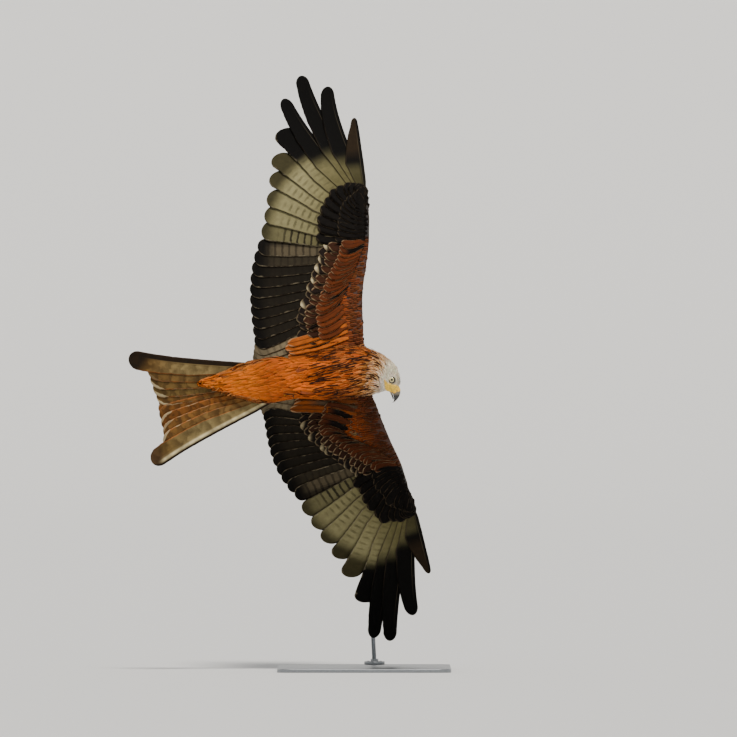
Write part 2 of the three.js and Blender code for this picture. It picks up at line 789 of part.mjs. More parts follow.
const torsoCutter = bodyLoft(torsoRings, bodySides, clearance, asIs, clearance, clearance / 2);
const torso = bodyLoft(torsoRings, bodySides, 0, asIs, 0, -clearance / 2);
const neckWhole = bodyLoft(neckRings, bodySides, 0, asIs, -clearance / 2, 0);
const keepOut = torsoCutter.add(bodyLoft(neckRings, bodySides, clearance, asIs));
addPart(bird, "torso", torso, "belly");
const neckSolid = neckWhole.subtract(headBall(clearance)).subtract(throatSolid(clearance));
addPart(bird, "neck", largest(neckSolid), "neck");
addPart(bird, "head", largest(headSolid().subtract(torsoCutter)), "head");
addPart(bird, "cere", cereSolid(), "yellow");
addPart(bird, "bill_upper", upperBillSolid(), "horn");
addPart(bird, "bill_lower", lowerBillSolid(), "horn");
addPart(bird, "eye_right", eyeBall(-1, 0), "eye");
addPart(bird, "eye_left", eyeBall(1, 0), "eye");
addPart(bird, "wing_right", wingSolid(wings.right, keepOut), "wing");
addPart(bird, "wing_left", wingSolid(wings.left, keepOut), "wing");
addPart(bird, "tail", tailSolid(torsoCutter), "tail");
for (const [name, side] of [["right", -1], ["left", 1]]) {
  const legCutter = legSolid(side, wasm.Manifold.union([]), clearance);
  const footCutter = footSolid(side, null, null, clearance);
  addPart(bird, "leg_" + name, legSolid(side, torsoCutter, 0), "belly");
  addPart(bird, "foot_" + name, footSolid(side, torsoCutter, legCutter, 0), "yellow");
  toes.forEach((toe, k) => {
    addPart(bird, "claw_" + name + "_" + (k + 1), clawSolid(side, toe, footCutter), "horn");
  });
}

// Flat plate with rounded corners
function plateSolid() {
  const { width, depth, thick, corner } = plate;
  const shape = new THREE.Shape();
  const x = width / 2 - corner;
  const y = depth / 2 - corner;
  shape.absarc(x, y, corner, 0, Math.PI / 2, false);
  shape.absarc(-x, y, corner, Math.PI / 2, Math.PI, false);
  shape.absarc(-x, -y, corner, Math.PI, 1.5 * Math.PI, false);
  shape.absarc(x, -y, corner, 1.5 * Math.PI, 2 * Math.PI, false);
  const solid = new THREE.ExtrudeGeometry(shape, { depth: thick, bevelEnabled: false, curveSegments: 6 });
  return toManifold(solid);
}

// Rod from its flange on the plate, bowing clear behind the lower wing, up to the back
function rodSolid() {
  const foot = new THREE.Vector3(rodPath.footX, rodPath.footY, plate.thick + clearance);
  const pull = new THREE.Vector3(rodPath.pullX, rodPath.pullY, rodPath.pullZ);
  const top = new THREE.Vector3(rodPath.topX, bodyPlace.y + rodPath.inBody, rodPath.topZ);
  const curve = new THREE.QuadraticBezierCurve3(foot, pull, top);
  const path = curve.getPoints(rod.steps);
  const bent = bar(path, path.map(() => rod.radius), rod.sides);
  const flange = new THREE.CylinderGeometry(rod.flangeRadius, rod.flangeRadius, rod.flangeHeight, rod.flangeSides);
  flange.rotateX(Math.PI / 2);
  flange.translate(foot.x, foot.y, foot.z + rod.flangeHeight / 2);
  const body = torsoCutter.transform(bird.matrixWorld.elements);
  const slab = new THREE.BoxGeometry(80, 80, 40);
  slab.translate(foot.x, foot.y, foot.z - 20);
  return largest(bent.add(toManifold(flange)).subtract(toManifold(slab)).subtract(body));
}

addPart(model, "stand_base", plateSolid(), "steel");
addPart(model, "stand_rod", rodSolid(), "steel");

export default model;
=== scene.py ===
# A red kite in a banked glide, life size, held by a bent steel rod over a flat plate.
# The bird is drawn in millimetres in its own axes: x to the head, y to its left, z out
# of its back. put() turns them into the frame, in metres.
import math

import bmesh
import bpy
import numpy as np
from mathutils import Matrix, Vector


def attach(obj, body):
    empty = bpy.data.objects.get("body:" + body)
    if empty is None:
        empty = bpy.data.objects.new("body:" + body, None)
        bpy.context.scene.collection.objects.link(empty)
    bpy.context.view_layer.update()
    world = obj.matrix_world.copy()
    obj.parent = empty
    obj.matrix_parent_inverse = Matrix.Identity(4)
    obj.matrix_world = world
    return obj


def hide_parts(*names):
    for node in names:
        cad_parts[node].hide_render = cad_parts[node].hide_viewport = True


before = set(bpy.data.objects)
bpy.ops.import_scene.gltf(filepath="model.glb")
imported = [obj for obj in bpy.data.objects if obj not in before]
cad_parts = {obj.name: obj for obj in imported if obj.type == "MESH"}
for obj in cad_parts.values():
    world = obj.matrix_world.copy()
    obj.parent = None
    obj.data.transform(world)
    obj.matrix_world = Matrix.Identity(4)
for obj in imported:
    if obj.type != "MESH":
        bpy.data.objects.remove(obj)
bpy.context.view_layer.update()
rng = np.random.default_rng(11)

pose = {"place": [-44, -185, 690], "headingDeg": 8, "rollDeg": 7}

heading = math.radians(-pose["headingDeg"])
roll = math.radians(pose["rollDeg"] - 90)
poseMatrix = np.array([
    [math.cos(heading), 0, math.sin(heading)], [0, 1, 0], [-math.sin(heading), 0, math.cos(heading)],
]) @ np.array([
    [1, 0, 0], [0, math.cos(roll), -math.sin(roll)], [0, math.sin(roll), math.cos(roll)],
])


# Bird axes to the frame: turned, moved, and from millimetres to metres
def put(points):
    return (points @ poseMatrix.T + pose["place"]) / 1000


def unput(points):
    return (points * 1000 - pose["place"]) @ poseMatrix


# A screen colour such as "b0652f" as linear light: c / 12.92 in the dark, else a power of 2.4
def ink(code):
    c = np.array([int(code[i:i + 2], 16) for i in (0, 2, 4)]) / 255
    return np.where(c <= 0.04045, c / 12.92, ((c + 0.055) / 1.055) ** 2.4)


# 0 below low, 1 above high, with an S curve between: 3 t^2 - 2 t^3
def ease(value, low, high):
    t = np.clip((value - low) / (high - low), 0, 1)
    return t * t * (3 - 2 * t)


def blend(a, b, share):
    return a + (b - a) * share


# The same for colours, with a share for each point
def tone(a, b, share):
    return blend(a, b, np.asarray(share)[..., None])


# Factors that vary round 1 by a spread
def vary(spread, count):
    return rng.uniform(1 - spread, 1 + spread, count)


def unit(vectors):
    return vectors / np.maximum(np.linalg.norm(vectors, axis=-1, keepdims=True), 1e-9)


# A smooth curve through named points: each span is a cubic whose end slopes come from
# the neighbours on both sides
def curveAt(at, table):
    table = np.asarray(table, float)
    x, y = table[:, 0], table[:, 1:]
    slope = np.gradient(y, x, axis=0)
    at = np.clip(at, x[0], x[-1])
    i = np.clip(np.searchsorted(x, at) - 1, 0, len(x) - 2)
    span = (x[i + 1] - x[i])[..., None]
    t = (at[..., None] - x[i][..., None]) / span
    start = (1 + 2 * t) * (1 - t) ** 2 * y[i] + t * (1 - t) ** 2 * span * slope[i]
    return start + t * t * (3 - 2 * t) * y[i + 1] + t * t * (t - 1) * span * slope[i + 1]


def columnsAt(at, table):
    return np.moveaxis(curveAt(at, table), -1, 0)


# Straight steps between named points
def stepsAt(at, table):
    table = np.asarray(table, float)
    return np.stack([np.interp(at, table[:, 0], column) for column in table[:, 1:].T], -1)


# Values of one shape side by side as vectors
def together(shape, *values):
    return np.stack([np.broadcast_to(v, shape) for v in values], -1)


# A part's own axes: its origin, then rows that point forward, left and up
def axesAt(origin, forward, up):
    forward = unit(np.array(forward, float))
    left = unit(np.cross(np.array(up, float), forward))
    return np.array(origin, float), np.stack([forward, left, np.cross(forward, left)])


def toPart(points, axes):
    return (points - axes[0]) @ axes[1].T


def fromPart(points, axes):
    return points @ axes[1] + axes[0]


# Sizes of the flesh with its plumage, the same as in the frame.
# Each ring: place along the axis, middle, half width, top, bottom
birdAxes = axesAt([0, 0, 0], [1, 0, 0], [0, 0, 1])
headAxes = axesAt([104, 32.5, -4], [0.216, 0.969, -0.119], [0.977, -0.215, 0.026])
tailTurn = math.radians(3.8)
tailAxes = axesAt([-150, 0, 3], [-math.cos(tailTurn), math.sin(tailTurn), 0], [0, 0, 1])
lofts = {
    "body": {"axes": birdAxes, "bulge": 2.25, "rings": [
        [-166, 0, 15, 13, -14], [-158, 0, 22, 19, -22], [-140, 0, 31, 25, -32],
        [-112, 0, 42, 32, -44], [-78, 0, 51, 39, -55], [-38, 0, 57, 44, -62],
        [2, 0, 59, 46, -63], [32, 2, 58, 44, -57], [50, 4, 56, 41, -50],
        [61, 6, 53, 38, -45], [76, 8.5, 47, 33, -39], [88, 8, 37, 28, -33],
        [96, 7, 27, 22, -26], [101, 7, 15, 13, -16],
    ]},
    "head": {"axes": headAxes, "bulge": 2.25, "rings": [
        [-54, 0, 9, 4, -13], [-49, 0, 15, 9, -19], [-40, 0, 19.5, 14.5, -24],
        [-26, 0, 21.5, 19.5, -26], [-11, 0, 21, 21, -24.5], [2, 0, 19, 20, -21.5],
        [12, 0, 15.5, 17, -19], [20, 0, 11.5, 13, -16.5], [25.5, 0, 8, 9, -14],
    ]},
    "rump": {"axes": tailAxes, "bulge": 2, "rings": [
        [-8, 0, 17, 13, -15], [14, 0, 25, 14, -18], [38, 0, 33, 10, -15],
        [62, 0, 41, 5, -9], [82, 0, 46, 2.4, -4.2],
    ]},
    # Flanks and undertail: the thick wedge of feathers that the feet are tucked into
    "vent": {"axes": tailAxes, "bulge": 2, "rings": [
        [-76, 0, 30, 0, -50], [-60, 0, 38, 0, -55], [-30, 4, 46, 2, -57], [-5, 8, 51, 3, -52],
        [25, 9, 52, 2, -42], [55, 11, 49, -0.5, -29], [90, 16, 38, -3, -20],
        [125, 22, 25, -4, -15], [155, 28, 14, -5, -12], [180, 33.5, 5, -6, -9],
    ]},
}
balls = {
    "thighRight": {"axes": birdAxes, "middle": [-70, -25, -50], "sizes": [46, 18, 16]},
    "thighLeft": {"axes": birdAxes, "middle": [-70, 25, -50], "sizes": [46, 18, 16]},
    "throat": {"axes": headAxes, "middle": [6, 0, -26], "sizes": [15, 14, 15]},
    "browRight": {"axes": headAxes, "middle": [3, -15.2, 9.6], "sizes": [11.5, 4.4, 2.6]},
    "browLeft": {"axes": headAxes, "middle": [3, 15.2, 9.6], "sizes": [11.5, 4.4, 2.6]},
}
softness = {
    "head": 14, "rump": 8, "vent": 14, "thighRight": 9, "thighLeft": 9, "throat": 9,
    "browRight": 2.5, "browLeft": 2.5, "Right": 20, "Left": 20,
}
coatDepth = {"body": 6, "head": 2.6, "wing": 2.2, "vent": 2.5}

# Joints of each wing and tips of its feathers on the flat wing: forward, outward.
# Primaries are given by reach and turn round the wrist, from the innermost out
shoulder = {"forward": 20, "out": 38, "up": 28, "riseDeg": 18}
# Painted shade: the under coverts of each wing are darkened by a factor of their own, the left wing's to
# half
wings = {
    "Right": {
        "side": -1, "paintedUnderShade": 1.0, "tipRiseDeg": 54, "fingerBow": 10,
        "elbow": [5, 167], "wrist": [88, 299], "handTip": [104, 412], "webFront": [66, 165],
        "primaryReach": [240, 241, 251, 272, 301, 349, 428, 482, 425, 316],
        "primaryTurnDeg": [-74, -64, -54, -43.5, -35, -26, -18.3, -10.4, -4, 2.7],
        "secondaryOuter": [-159, 323], "secondaryInner": [-198, 96],
    },
    "Left": {
        "side": 1, "paintedUnderShade": 0.5, "tipRiseDeg": 38, "fingerBow": 6,
        "elbow": [-29, 158], "wrist": [90, 257], "handTip": [113, 368], "webFront": [84, 190],
        "primaryReach": [245, 247, 258, 279, 317, 381, 489, 499, 421, 304],
        "primaryTurnDeg": [-68, -57, -46.3, -35.5, -26.5, -17.7, -12.2, -7.6, -0.7, 7.2],
        "secondaryOuter": [-153, 302], "secondaryInner": [-202, 84],
    },
}
bothSides = (("Right", -1), ("Left", 1))
bendFrom, bendTo = 250, 760
armThick = {"body": 17, "shoulder": 15, "elbow": 10, "wrist": 8.5, "handTip": 4.5}


# Slope of the wing's outward line where it leaves the body, and how fast it grows
def riseOf(wing):
    start = math.radians(shoulder["riseDeg"])
    return start, (math.radians(wing["tipRiseDeg"]) - start) / (bendTo - bendFrom)


# Flat wing (forward, outward, height over it) to bird axes: the outward line rises at a
# steady slope, then bends up along an arc whose slope grows with the distance
def wingPlace(wing):
    start, slope = riseOf(wing)

    def place(flat):
        out, high = flat[..., 1], flat[..., 2]
        straight = np.minimum(out, bendFrom) - shoulder["out"]
        angle = start + slope * np.maximum(0, out - bendFrom)
        side = shoulder["out"] + straight * math.cos(start) + (np.sin(angle) - math.sin(start)) / slope
        up = shoulder["up"] + straight * math.sin(start) + (math.cos(start) - np.cos(angle)) / slope
        return np.stack([
            flat[..., 0], wing["side"] * (side - high * np.sin(angle)), up + high * np.cos(angle),
        ], -1)

    return place


# Bird axes back to the flat wing: the straight part by a turn, the rest from its arc's middle
def wingFlat(wing, points):
    start, slope = riseOf(wing)
    side = wing["side"] * points[..., 1] - shoulder["out"]
    up = points[..., 2] - shoulder["up"]
    out = shoulder["out"] + side * math.cos(start) + up * math.sin(start)
    high = up * math.cos(start) - side * math.sin(start)
    reach = bendFrom - shoulder["out"]
    aside = side - reach * math.cos(start) + math.sin(start) / slope
    below = reach * math.sin(start) + math.cos(start) / slope - up
    bent = out > bendFrom
    out = np.where(bent, bendFrom + (np.arctan2(aside, below) - start) / slope, out)
    high = np.where(bent, 1 / slope - np.hypot(aside, below), high)
    return np.stack([points[..., 0], out, high], -1)


# Front line, back line and half thickness of the arm at outward distances
def armAt(wing, out):
    elbow, wrist, tip, web = wing["elbow"], wing["wrist"], wing["handTip"], wing["webFront"]
    front = [[0, 50], [shoulder["out"], 54], [web[1], web[0]], [wrist[1], wrist[0] + 12],
             [wrist[1] + 50, wrist[0] + 18], [tip[1], tip[0] + 6], [tip[1] + 14, tip[0] + 3]]
    back = [[0, -34], [shoulder["out"], shoulder["forward"] - 54], [elbow[1], elbow[0] - 30],
            [wrist[1], wrist[0] - 22], [tip[1], tip[0] - 14], [tip[1] + 14, tip[0] - 4]]
    thick = [[0, armThick["body"]], [shoulder["out"], armThick["shoulder"]],
             [elbow[1], armThick["elbow"]], [wrist[1], armThick["wrist"]],
             [tip[1], armThick["handTip"]], [tip[1] + 14, armThick["handTip"] / 2]]
    return [curveAt(out, table)[..., 0] for table in (front, back, thick)]


# The arm's thickness falls to a third from the front line (1) to the back line (-1)
def armTaper(along):
    return 0.66 + 0.34 * along


# Points round the arm: an ellipse from the front line to the back
def armRing(wing, out, turn):
    front, back, thick = armAt(wing, out)
    along = (front + back) / 2 + (front - back) / 2 * np.cos(turn)
    return along, thick * armTaper(np.cos(turn)) * np.sin(turn)


# Half thickness of the arm over or under a place on the flat wing
def armHeight(wing, flat2):
    front, back, thick = armAt(wing, flat2[..., 1])
    along = np.clip((flat2[..., 0] - (front + back) / 2) / ((front - back) / 2), -1, 1)
    return thick * armTaper(along) * np.sqrt(1 - along * along)


# Points on a loft: (|cos|, |sin|) ^ (2 / bulge) of the turn, scaled to the ring there
def ringPoints(along, middle, wide, top, bottom, turn, bulge):
    c, s = (np.sign(v) * np.abs(v) ** (2 / bulge) for v in (np.cos(turn), np.sin(turn)))
    shape = np.broadcast_shapes(np.shape(along), np.shape(turn))
    return together(shape, along, middle + wide * c, (top + bottom) / 2 + (top - bottom) / 2 * s)


def onLoft(name, along, turn):
    part = lofts[name]
    local = ringPoints(along, *columnsAt(along, part["rings"]), turn, part["bulge"])
    return fromPart(local, part["axes"])


# Distance from a loft, below 0 inside: the point's radius less the ring's radius in the
# same direction; past the ends the gap along the axis is added as the third side
def loftGap(points, part):
    along, across, up = np.moveaxis(toPart(points, part["axes"]), -1, 0)
    rings, bulge = part["rings"], part["bulge"]
    middle, wide, top, bottom = columnsAt(along, rings)
    y, z = across - middle, up - (top + bottom) / 2
    high = (top - bottom) / 2
    level = (np.abs(y / wide) ** bulge + np.abs(z / high) ** bulge) ** (1 / bulge) + 1e-6
    gap = (np.hypot(y, z) + 1e-6) * (1 - 1 / level)
    past = np.maximum(rings[0][0] - along, 0) + np.maximum(along - rings[-1][0], 0)
    return np.where(past > 0, np.hypot(past, np.maximum(gap, 0)) + np.minimum(gap, 0), gap)


def ballGap(points, ball):
    p = (toPart(points, ball["axes"]) - ball["middle"]) / ball["sizes"]
    return (np.linalg.norm(p, axis=-1) - 1) * min(ball["sizes"])


def armGap(points, wing):
    flat = wingFlat(wing, points)
    out = flat[..., 1]
    front, back, thick = armAt(wing, out)
    half = (front - back) / 2
    along = flat[..., 0] - (front + back) / 2
    high = thick * armTaper(np.clip(along / half, -1, 1))
    level = np.hypot(along / half, flat[..., 2] / high) + 1e-6
    gap = np.hypot(along, flat[..., 2]) * (1 - 1 / level)
    past = np.maximum(out - (wing["handTip"][1] + 12), 0) + np.maximum(4 - out, 0)
    return np.where(past > 0, np.hypot(past, np.maximum(gap, 0)), gap)


def partGaps(points):
    gaps = {name: loftGap(points, part) for name, part in lofts.items()}
    gaps.update({name: ballGap(points, ball) for name, ball in balls.items()})
    gaps.update({name: armGap(points, wing) for name, wing in wings.items()})
    return gaps


# All parts as one, each with a soft valley of width k to the rest: b + (a - b) h - k h (1 - h)
def bodyGap(points):
    gaps = partGaps(points)
    total = gaps["body"]
    for name, k in softness.items():
        h = np.clip(0.5 + 0.5 * (gaps[name] - total) / k, 0, 1)
        total = blend(gaps[name], total, h) - k * h * (1 - h)
    return total


def bodySlope(points, reach=0.6):
    rise = [bodyGap(points + step) - bodyGap(points - step) for step in np.eye(3) * reach]
    return np.stack(rise, -1) / (2 * reach)


def bodyNormal(points):
    return unit(bodySlope(points))


# Points moved along the normal until they stand at a wanted distance from the surface,
# where the distance is the gap over its slope
def drawTo(points, level, rounds=2):
    for _ in range(rounds):
        slope = bodySlope(points)
        steep = np.maximum(np.linalg.norm(slope, axis=-1), 0.4)
        points = points - slope * ((bodyGap(points) / steep - level) / steep)[..., None]
    return points


# The bare yellow face, between an upper and a lower line: forward, up in head axes
lore = {
    "upper": [[-8, -15.5], [3.7, -10.2], [9.2, -3.5], [14, 4], [17.3, 8.3], [27, 10.5]],
    "lower": [[-8, -17], [4, -19.5], [14.6, -21.5], [26, -17]],
    "colour": "ffd044", "shade": "e8ae26",
}


def loreShare(points):
    f, _, u = np.moveaxis(toPart(points, headAxes), -1, 0)
    upper = curveAt(f, lore["upper"])[..., 0]
    lower = curveAt(f, lore["lower"])[..., 0]
    inside = ease(u - lower, -1, 1) * (1 - ease(u - upper, -1.2, 0.8))
    return inside * ease(f, -9, -5) * (np.linalg.norm(points - headAxes[0], axis=-1) < 60)


# How deep the coat is over the skin at a place
def coatAt(points):
    inHead = toPart(points, headAxes)
    near = ease(-inHead[..., 0], 50, 20) * ease(-np.linalg.norm(inHead, axis=-1), -75, -40)
    depth = blend(coatDepth["body"], coatDepth["head"], near)
    depth = depth * (1 - 0.85 * loreShare(points))
    depth = blend(depth, coatDepth["vent"], ease(-points[..., 0], 150, 220))
    for wing in wings.values():
        depth = blend(depth, coatDepth["wing"], ease(wingFlat(wing, points)[..., 1], 55, 95))
    return depth


print("scene: sizes ready")


def meshFrom(name, points, loops, counts, material):
    mesh = bpy.data.meshes.new(name)
    mesh.vertices.add(len(points))
    mesh.vertices.foreach_set("co", put(points).astype(np.float32).ravel())
    mesh.loops.add(len(loops))
    mesh.loops.foreach_set("vertex_index", loops.astype(np.int32))
    mesh.polygons.add(len(counts))
    mesh.polygons.foreach_set("loop_start", (np.cumsum(counts) - counts).astype(np.int32))
    mesh.polygons.foreach_set("loop_total", np.asarray(counts, np.int32))
    mesh.update(calc_edges=True)
    mesh.validate()
    mesh.polygons.foreach_set("use_smooth", np.ones(len(mesh.polygons), bool))
    mesh.materials.append(material)
    piece = bpy.data.objects.new(name, mesh)
    bpy.context.scene.collection.objects.link(piece)
    return piece


def addValues(mesh, name, values):
    kind, field = ("FLOAT_COLOR", "color") if name == "tint" else ("FLOAT_VECTOR", "vector")
    if name == "tint":
        values = np.concatenate([values, np.ones((len(values), 1))], 1)
    data = mesh.attributes.new(name, kind, "POINT").data
    data.foreach_set(field, values.astype(np.float32).ravel())


def addUv(mesh, uv):
    mesh.uv_layers.new(name="OFBake").data.foreach_set("uv", uv.astype(np.float32).ravel())


# Quads between rings of points, with a face over each end
def ringFaces(rows, columns):
    i, j = np.meshgrid(np.arange(rows - 1), np.arange(columns), indexing="ij")
    a = (i * columns + j).ravel()
    b = (i * columns + (j + 1) % columns).ravel()
    quads = np.stack([a, b, b + columns, a + columns], -1)
    ends = [np.arange(columns)[::-1], np.arange(columns) + (rows - 1) * columns]
    counts = np.concatenate([np.full(len(quads), 4), [columns] * 2])
    return np.concatenate([quads.ravel(), *ends]), counts


# Closed grids of rings as one piece; tints come point by point
def shellPiece(name, shells, tints, material, axes=headAxes):
    loops, counts, shift = [], [], 0
    for shell in shells:
        some, count = ringFaces(*shell.shape[:2])
        loops.append(some + shift)
        counts.append(count)
        shift += shell.shape[0] * shell.shape[1]
    points = fromPart(np.concatenate([shell.reshape(-1, 3) for shell in shells]), axes)
    colours = [np.broadcast_to(tint, shell.shape).reshape(-1, 3) for shell, tint in zip(shells, tints)]
    piece = meshFrom(name, points, np.concatenate(loops), np.concatenate(counts), material)
    addValues(piece.data, "tint", np.concatenate(colours))
    work = bmesh.new()
    work.from_mesh(piece.data)
    bmesh.ops.recalc_face_normals(work, faces=work.faces)
    work.to_mesh(piece.data)
    work.free()
    return piece


# Where a place on the skin lies in the unit square of the bake: body, head and both faces
# of both wings each fill a rectangle by two directions of their own
charts = {
    "body": (0.01, 0.01, 0.48, 0.47), "head": (0.51, 0.01, 0.48, 0.47),
    "RightUnder": (0.01, 0.50, 0.48, 0.23), "RightOver": (0.51, 0.50, 0.48, 0.23),
    "LeftUnder": (0.01, 0.75, 0.48, 0.23), "LeftOver": (0.51, 0.75, 0.48, 0.23),
}
patchSize = 0.003
trunkParts = ("body", "rump", "vent", "thighRight", "thighLeft")


def chartKind(points):
    gaps = partGaps(points)
    trunk = np.minimum.reduce([gaps[name] for name in trunkParts])
    pick = np.where(gaps["head"] < trunk, 1, 0)
    for base, side in ((2, "Right"), (4, "Left")):
        flat = wingFlat(wings[side], points)
        mine = (gaps[side] < np.minimum(trunk, gaps["head"])) & (flat[..., 1] > 20)
        pick = np.where(mine, base + (flat[..., 2] > 0), pick)
    return np.array(list(charts))[pick]


def chartAt(points, kinds=None):
    kinds = chartKind(points) if kinds is None else kinds
    uv = np.zeros(points.shape[:-1] + (2,))
    for kind, (left, low, wide, tall) in charts.items():
        mine = kinds == kind
        p = points[mine]
        if kind == "body":
            share = [(p[:, 0] + 330) / 435, np.arctan2(p[:, 2] + 6, p[:, 1]) / (2 * np.pi) + 0.5]
        elif kind == "head":
            q = toPart(p, headAxes)
            share = [(q[:, 0] + 58) / 90, np.arctan2(q[:, 2] + 2, q[:, 1]) / (2 * np.pi) + 0.5]
        else:
            flat = wingFlat(wings["Right" if kind[0] == "R" else "Left"], p)
            share = [flat[:, 1] / 440, (flat[:, 0] + 60) / 190]
        uv[mine] = np.clip(np.stack(share, -1), 0, 1) * [wide, tall] + [left, low]
    return uv


# Each feather's patch on the skin's unwrap, where it grows
def rootPatches(roots):
    size = np.full((len(roots), 2), patchSize)
    return chartAt(roots) - size / 2, size


# Large vanes have a cell each in a square of their own
def cellPatches(count, columns):
    k = np.arange(count)
    cell = np.array([1 / columns, 1 / math.ceil(count / columns)])
    corner = np.stack([k % columns, k // columns], -1) * cell + cell * 0.05
    return corner, np.tile(cell * 0.9, (count, 1))


# Many closed vanes as one mesh. A sheaf holds vanes of one grid: the points over and under
# the vane (under has only the columns below), millimetres across, length, shares along and
# across, a chance each, and tint and marks, both for the over face and the under face
def vanesPiece(name, sheaves, material, patches=None):
    points, loops, counts, uvs, shift, vane = [], [], [], [], 0, 0
    fields = {key: [] for key in ("quill", "form", "marks", "tint")}
    if patches is None:
        roots = [s["over"][:, 0, s["over"].shape[2] // 2] for s in sheaves]
        patches = rootPatches(np.concatenate(roots))
    for s in sheaves:
        over, under, below = s["over"], s["under"], s["below"]
        shape = count, rows, columns = over.shape[:3]
        ring = np.concatenate([over, under[:, :, ::-1]], 2)
        around = ring.shape[2]
        some, each = ringFaces(rows, around)
        # Vanes whose ring runs the other way round have their faces turned
        half = rows // 2
        across = over[:, half, -1] - over[:, half, 0]
        along = over[:, half + 1, columns // 2] - over[:, half, columns // 2]
        face = over[:, half, columns // 2] - under[:, half, under.shape[2] // 2]
        inward = np.einsum("ij,ij->i", np.cross(across, along), face) < 0
        ends = np.cumsum(each)
        back = some[np.repeat(2 * ends - each - 1, each) - np.arange(len(some))]
        index = np.where(inward[:, None], back, some) + np.arange(count)[:, None] * rows * around
        share = s["share"][:, None]
        length, chance = (s[key][:, None, None] for key in ("length", "chance"))
        quill = together(shape, s["across"], length * share, share)
        form = together(shape, s["u"], chance, 0)
        pairs = {"quill": (quill, quill), "form": (form, form), "marks": s["marks"], "tint": s["tint"]}
        for key, pair in pairs.items():
            top, low = (np.broadcast_to(value, over.shape) for value in pair)
            fields[key].append(np.concatenate([top, low[:, :, below][:, :, ::-1]], 2).reshape(-1, 3))
        flatForm, flatQuill = fields["form"][-1], fields["quill"][-1]
        corner, size = patches[0][vane:vane + count], patches[1][vane:vane + count]
        owner = np.repeat(np.arange(count), index.shape[1])
        inPatch = np.stack([flatForm[index.ravel(), 0] / 2 + 0.5, flatQuill[index.ravel(), 2]], -1)
        uvs.append(corner[owner] + np.clip(inPatch, 0, 1) * size[owner])
        points.append(ring.reshape(-1, 3))
        loops.append(index.ravel() + shift)
        counts.append(np.tile(each, count))
        shift += count * rows * around
        vane += count
    points, loops, counts = (np.concatenate(each) for each in (points, loops, counts))
    piece = meshFrom(name, points, loops, counts, material)
    for key, values in fields.items():
        addValues(piece.data, key, np.concatenate(values))
    addUv(piece.data, np.concatenate(uvs))
    return piece


# One output socket: + - * / between wires and numbers add Math nodes
class Wire:
    def __init__(self, paint, socket):
        self.paint = paint
        self.socket = socket

    def math(self, operation, other=0.0, flip=False):
        pair = {0: other, 1: self} if flip else {0: self, 1: other}
        return self.paint.node("ShaderNodeMath", {"operation": operation}, pair)

    def __add__(self, other):
        return self.math("ADD", other)

    def __radd__(self, other):
        return self.math("ADD", other, True)

    def __sub__(self, other):
        return self.math("SUBTRACT", other)

    def __rsub__(self, other):
        return self.math("SUBTRACT", other, True)

    def __mul__(self, other):
        return self.math("MULTIPLY", other)

    def __rmul__(self, other):
        return self.math("MULTIPLY", other, True)


class Paint:
    def __init__(self, name):
        self.material = bpy.data.materials.new(name)
        self.material.use_nodes = True
        self.tree = self.material.node_tree
        self.tree.nodes.clear()

    # Any node: its settings first, then the values or wires of its sockets
    def node(self, kind, settings=None, sockets=None, out=0):
        made = self.tree.nodes.new(kind)
        for key, value in (settings or {}).items():
            setattr(made, key, value)
        for key, value in (sockets or {}).items():
            if isinstance(value, Wire):
                self.tree.links.new(value.socket, made.inputs[key])
            else:
                made.inputs[key].default_value = value
        return Wire(self, made.outputs[out]) if made.outputs else None

    def colour(self, name):
        return self.node("ShaderNodeAttribute", {"attribute_name": name}, out="Color")

    def parts(self, name):
        vector = self.node("ShaderNodeAttribute", {"attribute_name": name}, out="Vector")
        first = self.node("ShaderNodeSeparateXYZ", None, {0: vector})
        return [Wire(self, socket) for socket in first.socket.node.outputs]

    def noise(self, scale):
        where = self.node("ShaderNodeTexCoord", out="Object")
        return self.node("ShaderNodeTexNoise", None, {"Vector": where, "Scale": scale, "Detail": 3.0})

    # 0 at low, 1 at high, with an S curve between
    def ease(self, value, low, high):
        return self.node("ShaderNodeMapRange", {"interpolation_type": "SMOOTHSTEP"},
                         {"Value": value, "From Min": low, "From Max": high})

    def mix(self, share, a, b):
        a, b = (v if isinstance(v, Wire) else (*v, 1) for v in (a, b))
        return self.node("ShaderNodeMix", {"data_type": "RGBA"}, {0: share, 6: a, 7: b}, 2)

    def bump(self, height, strength, distance):
        sockets = {"Height": height, "Strength": strength, "Distance": distance}
        return self.node("ShaderNodeBump", None, sockets)

    def finish(self, sockets):
        surface = self.node("ShaderNodeBsdfPrincipled", None, sockets)
        self.node("ShaderNodeOutputMaterial", None, {"Surface": surface})
        return self.material


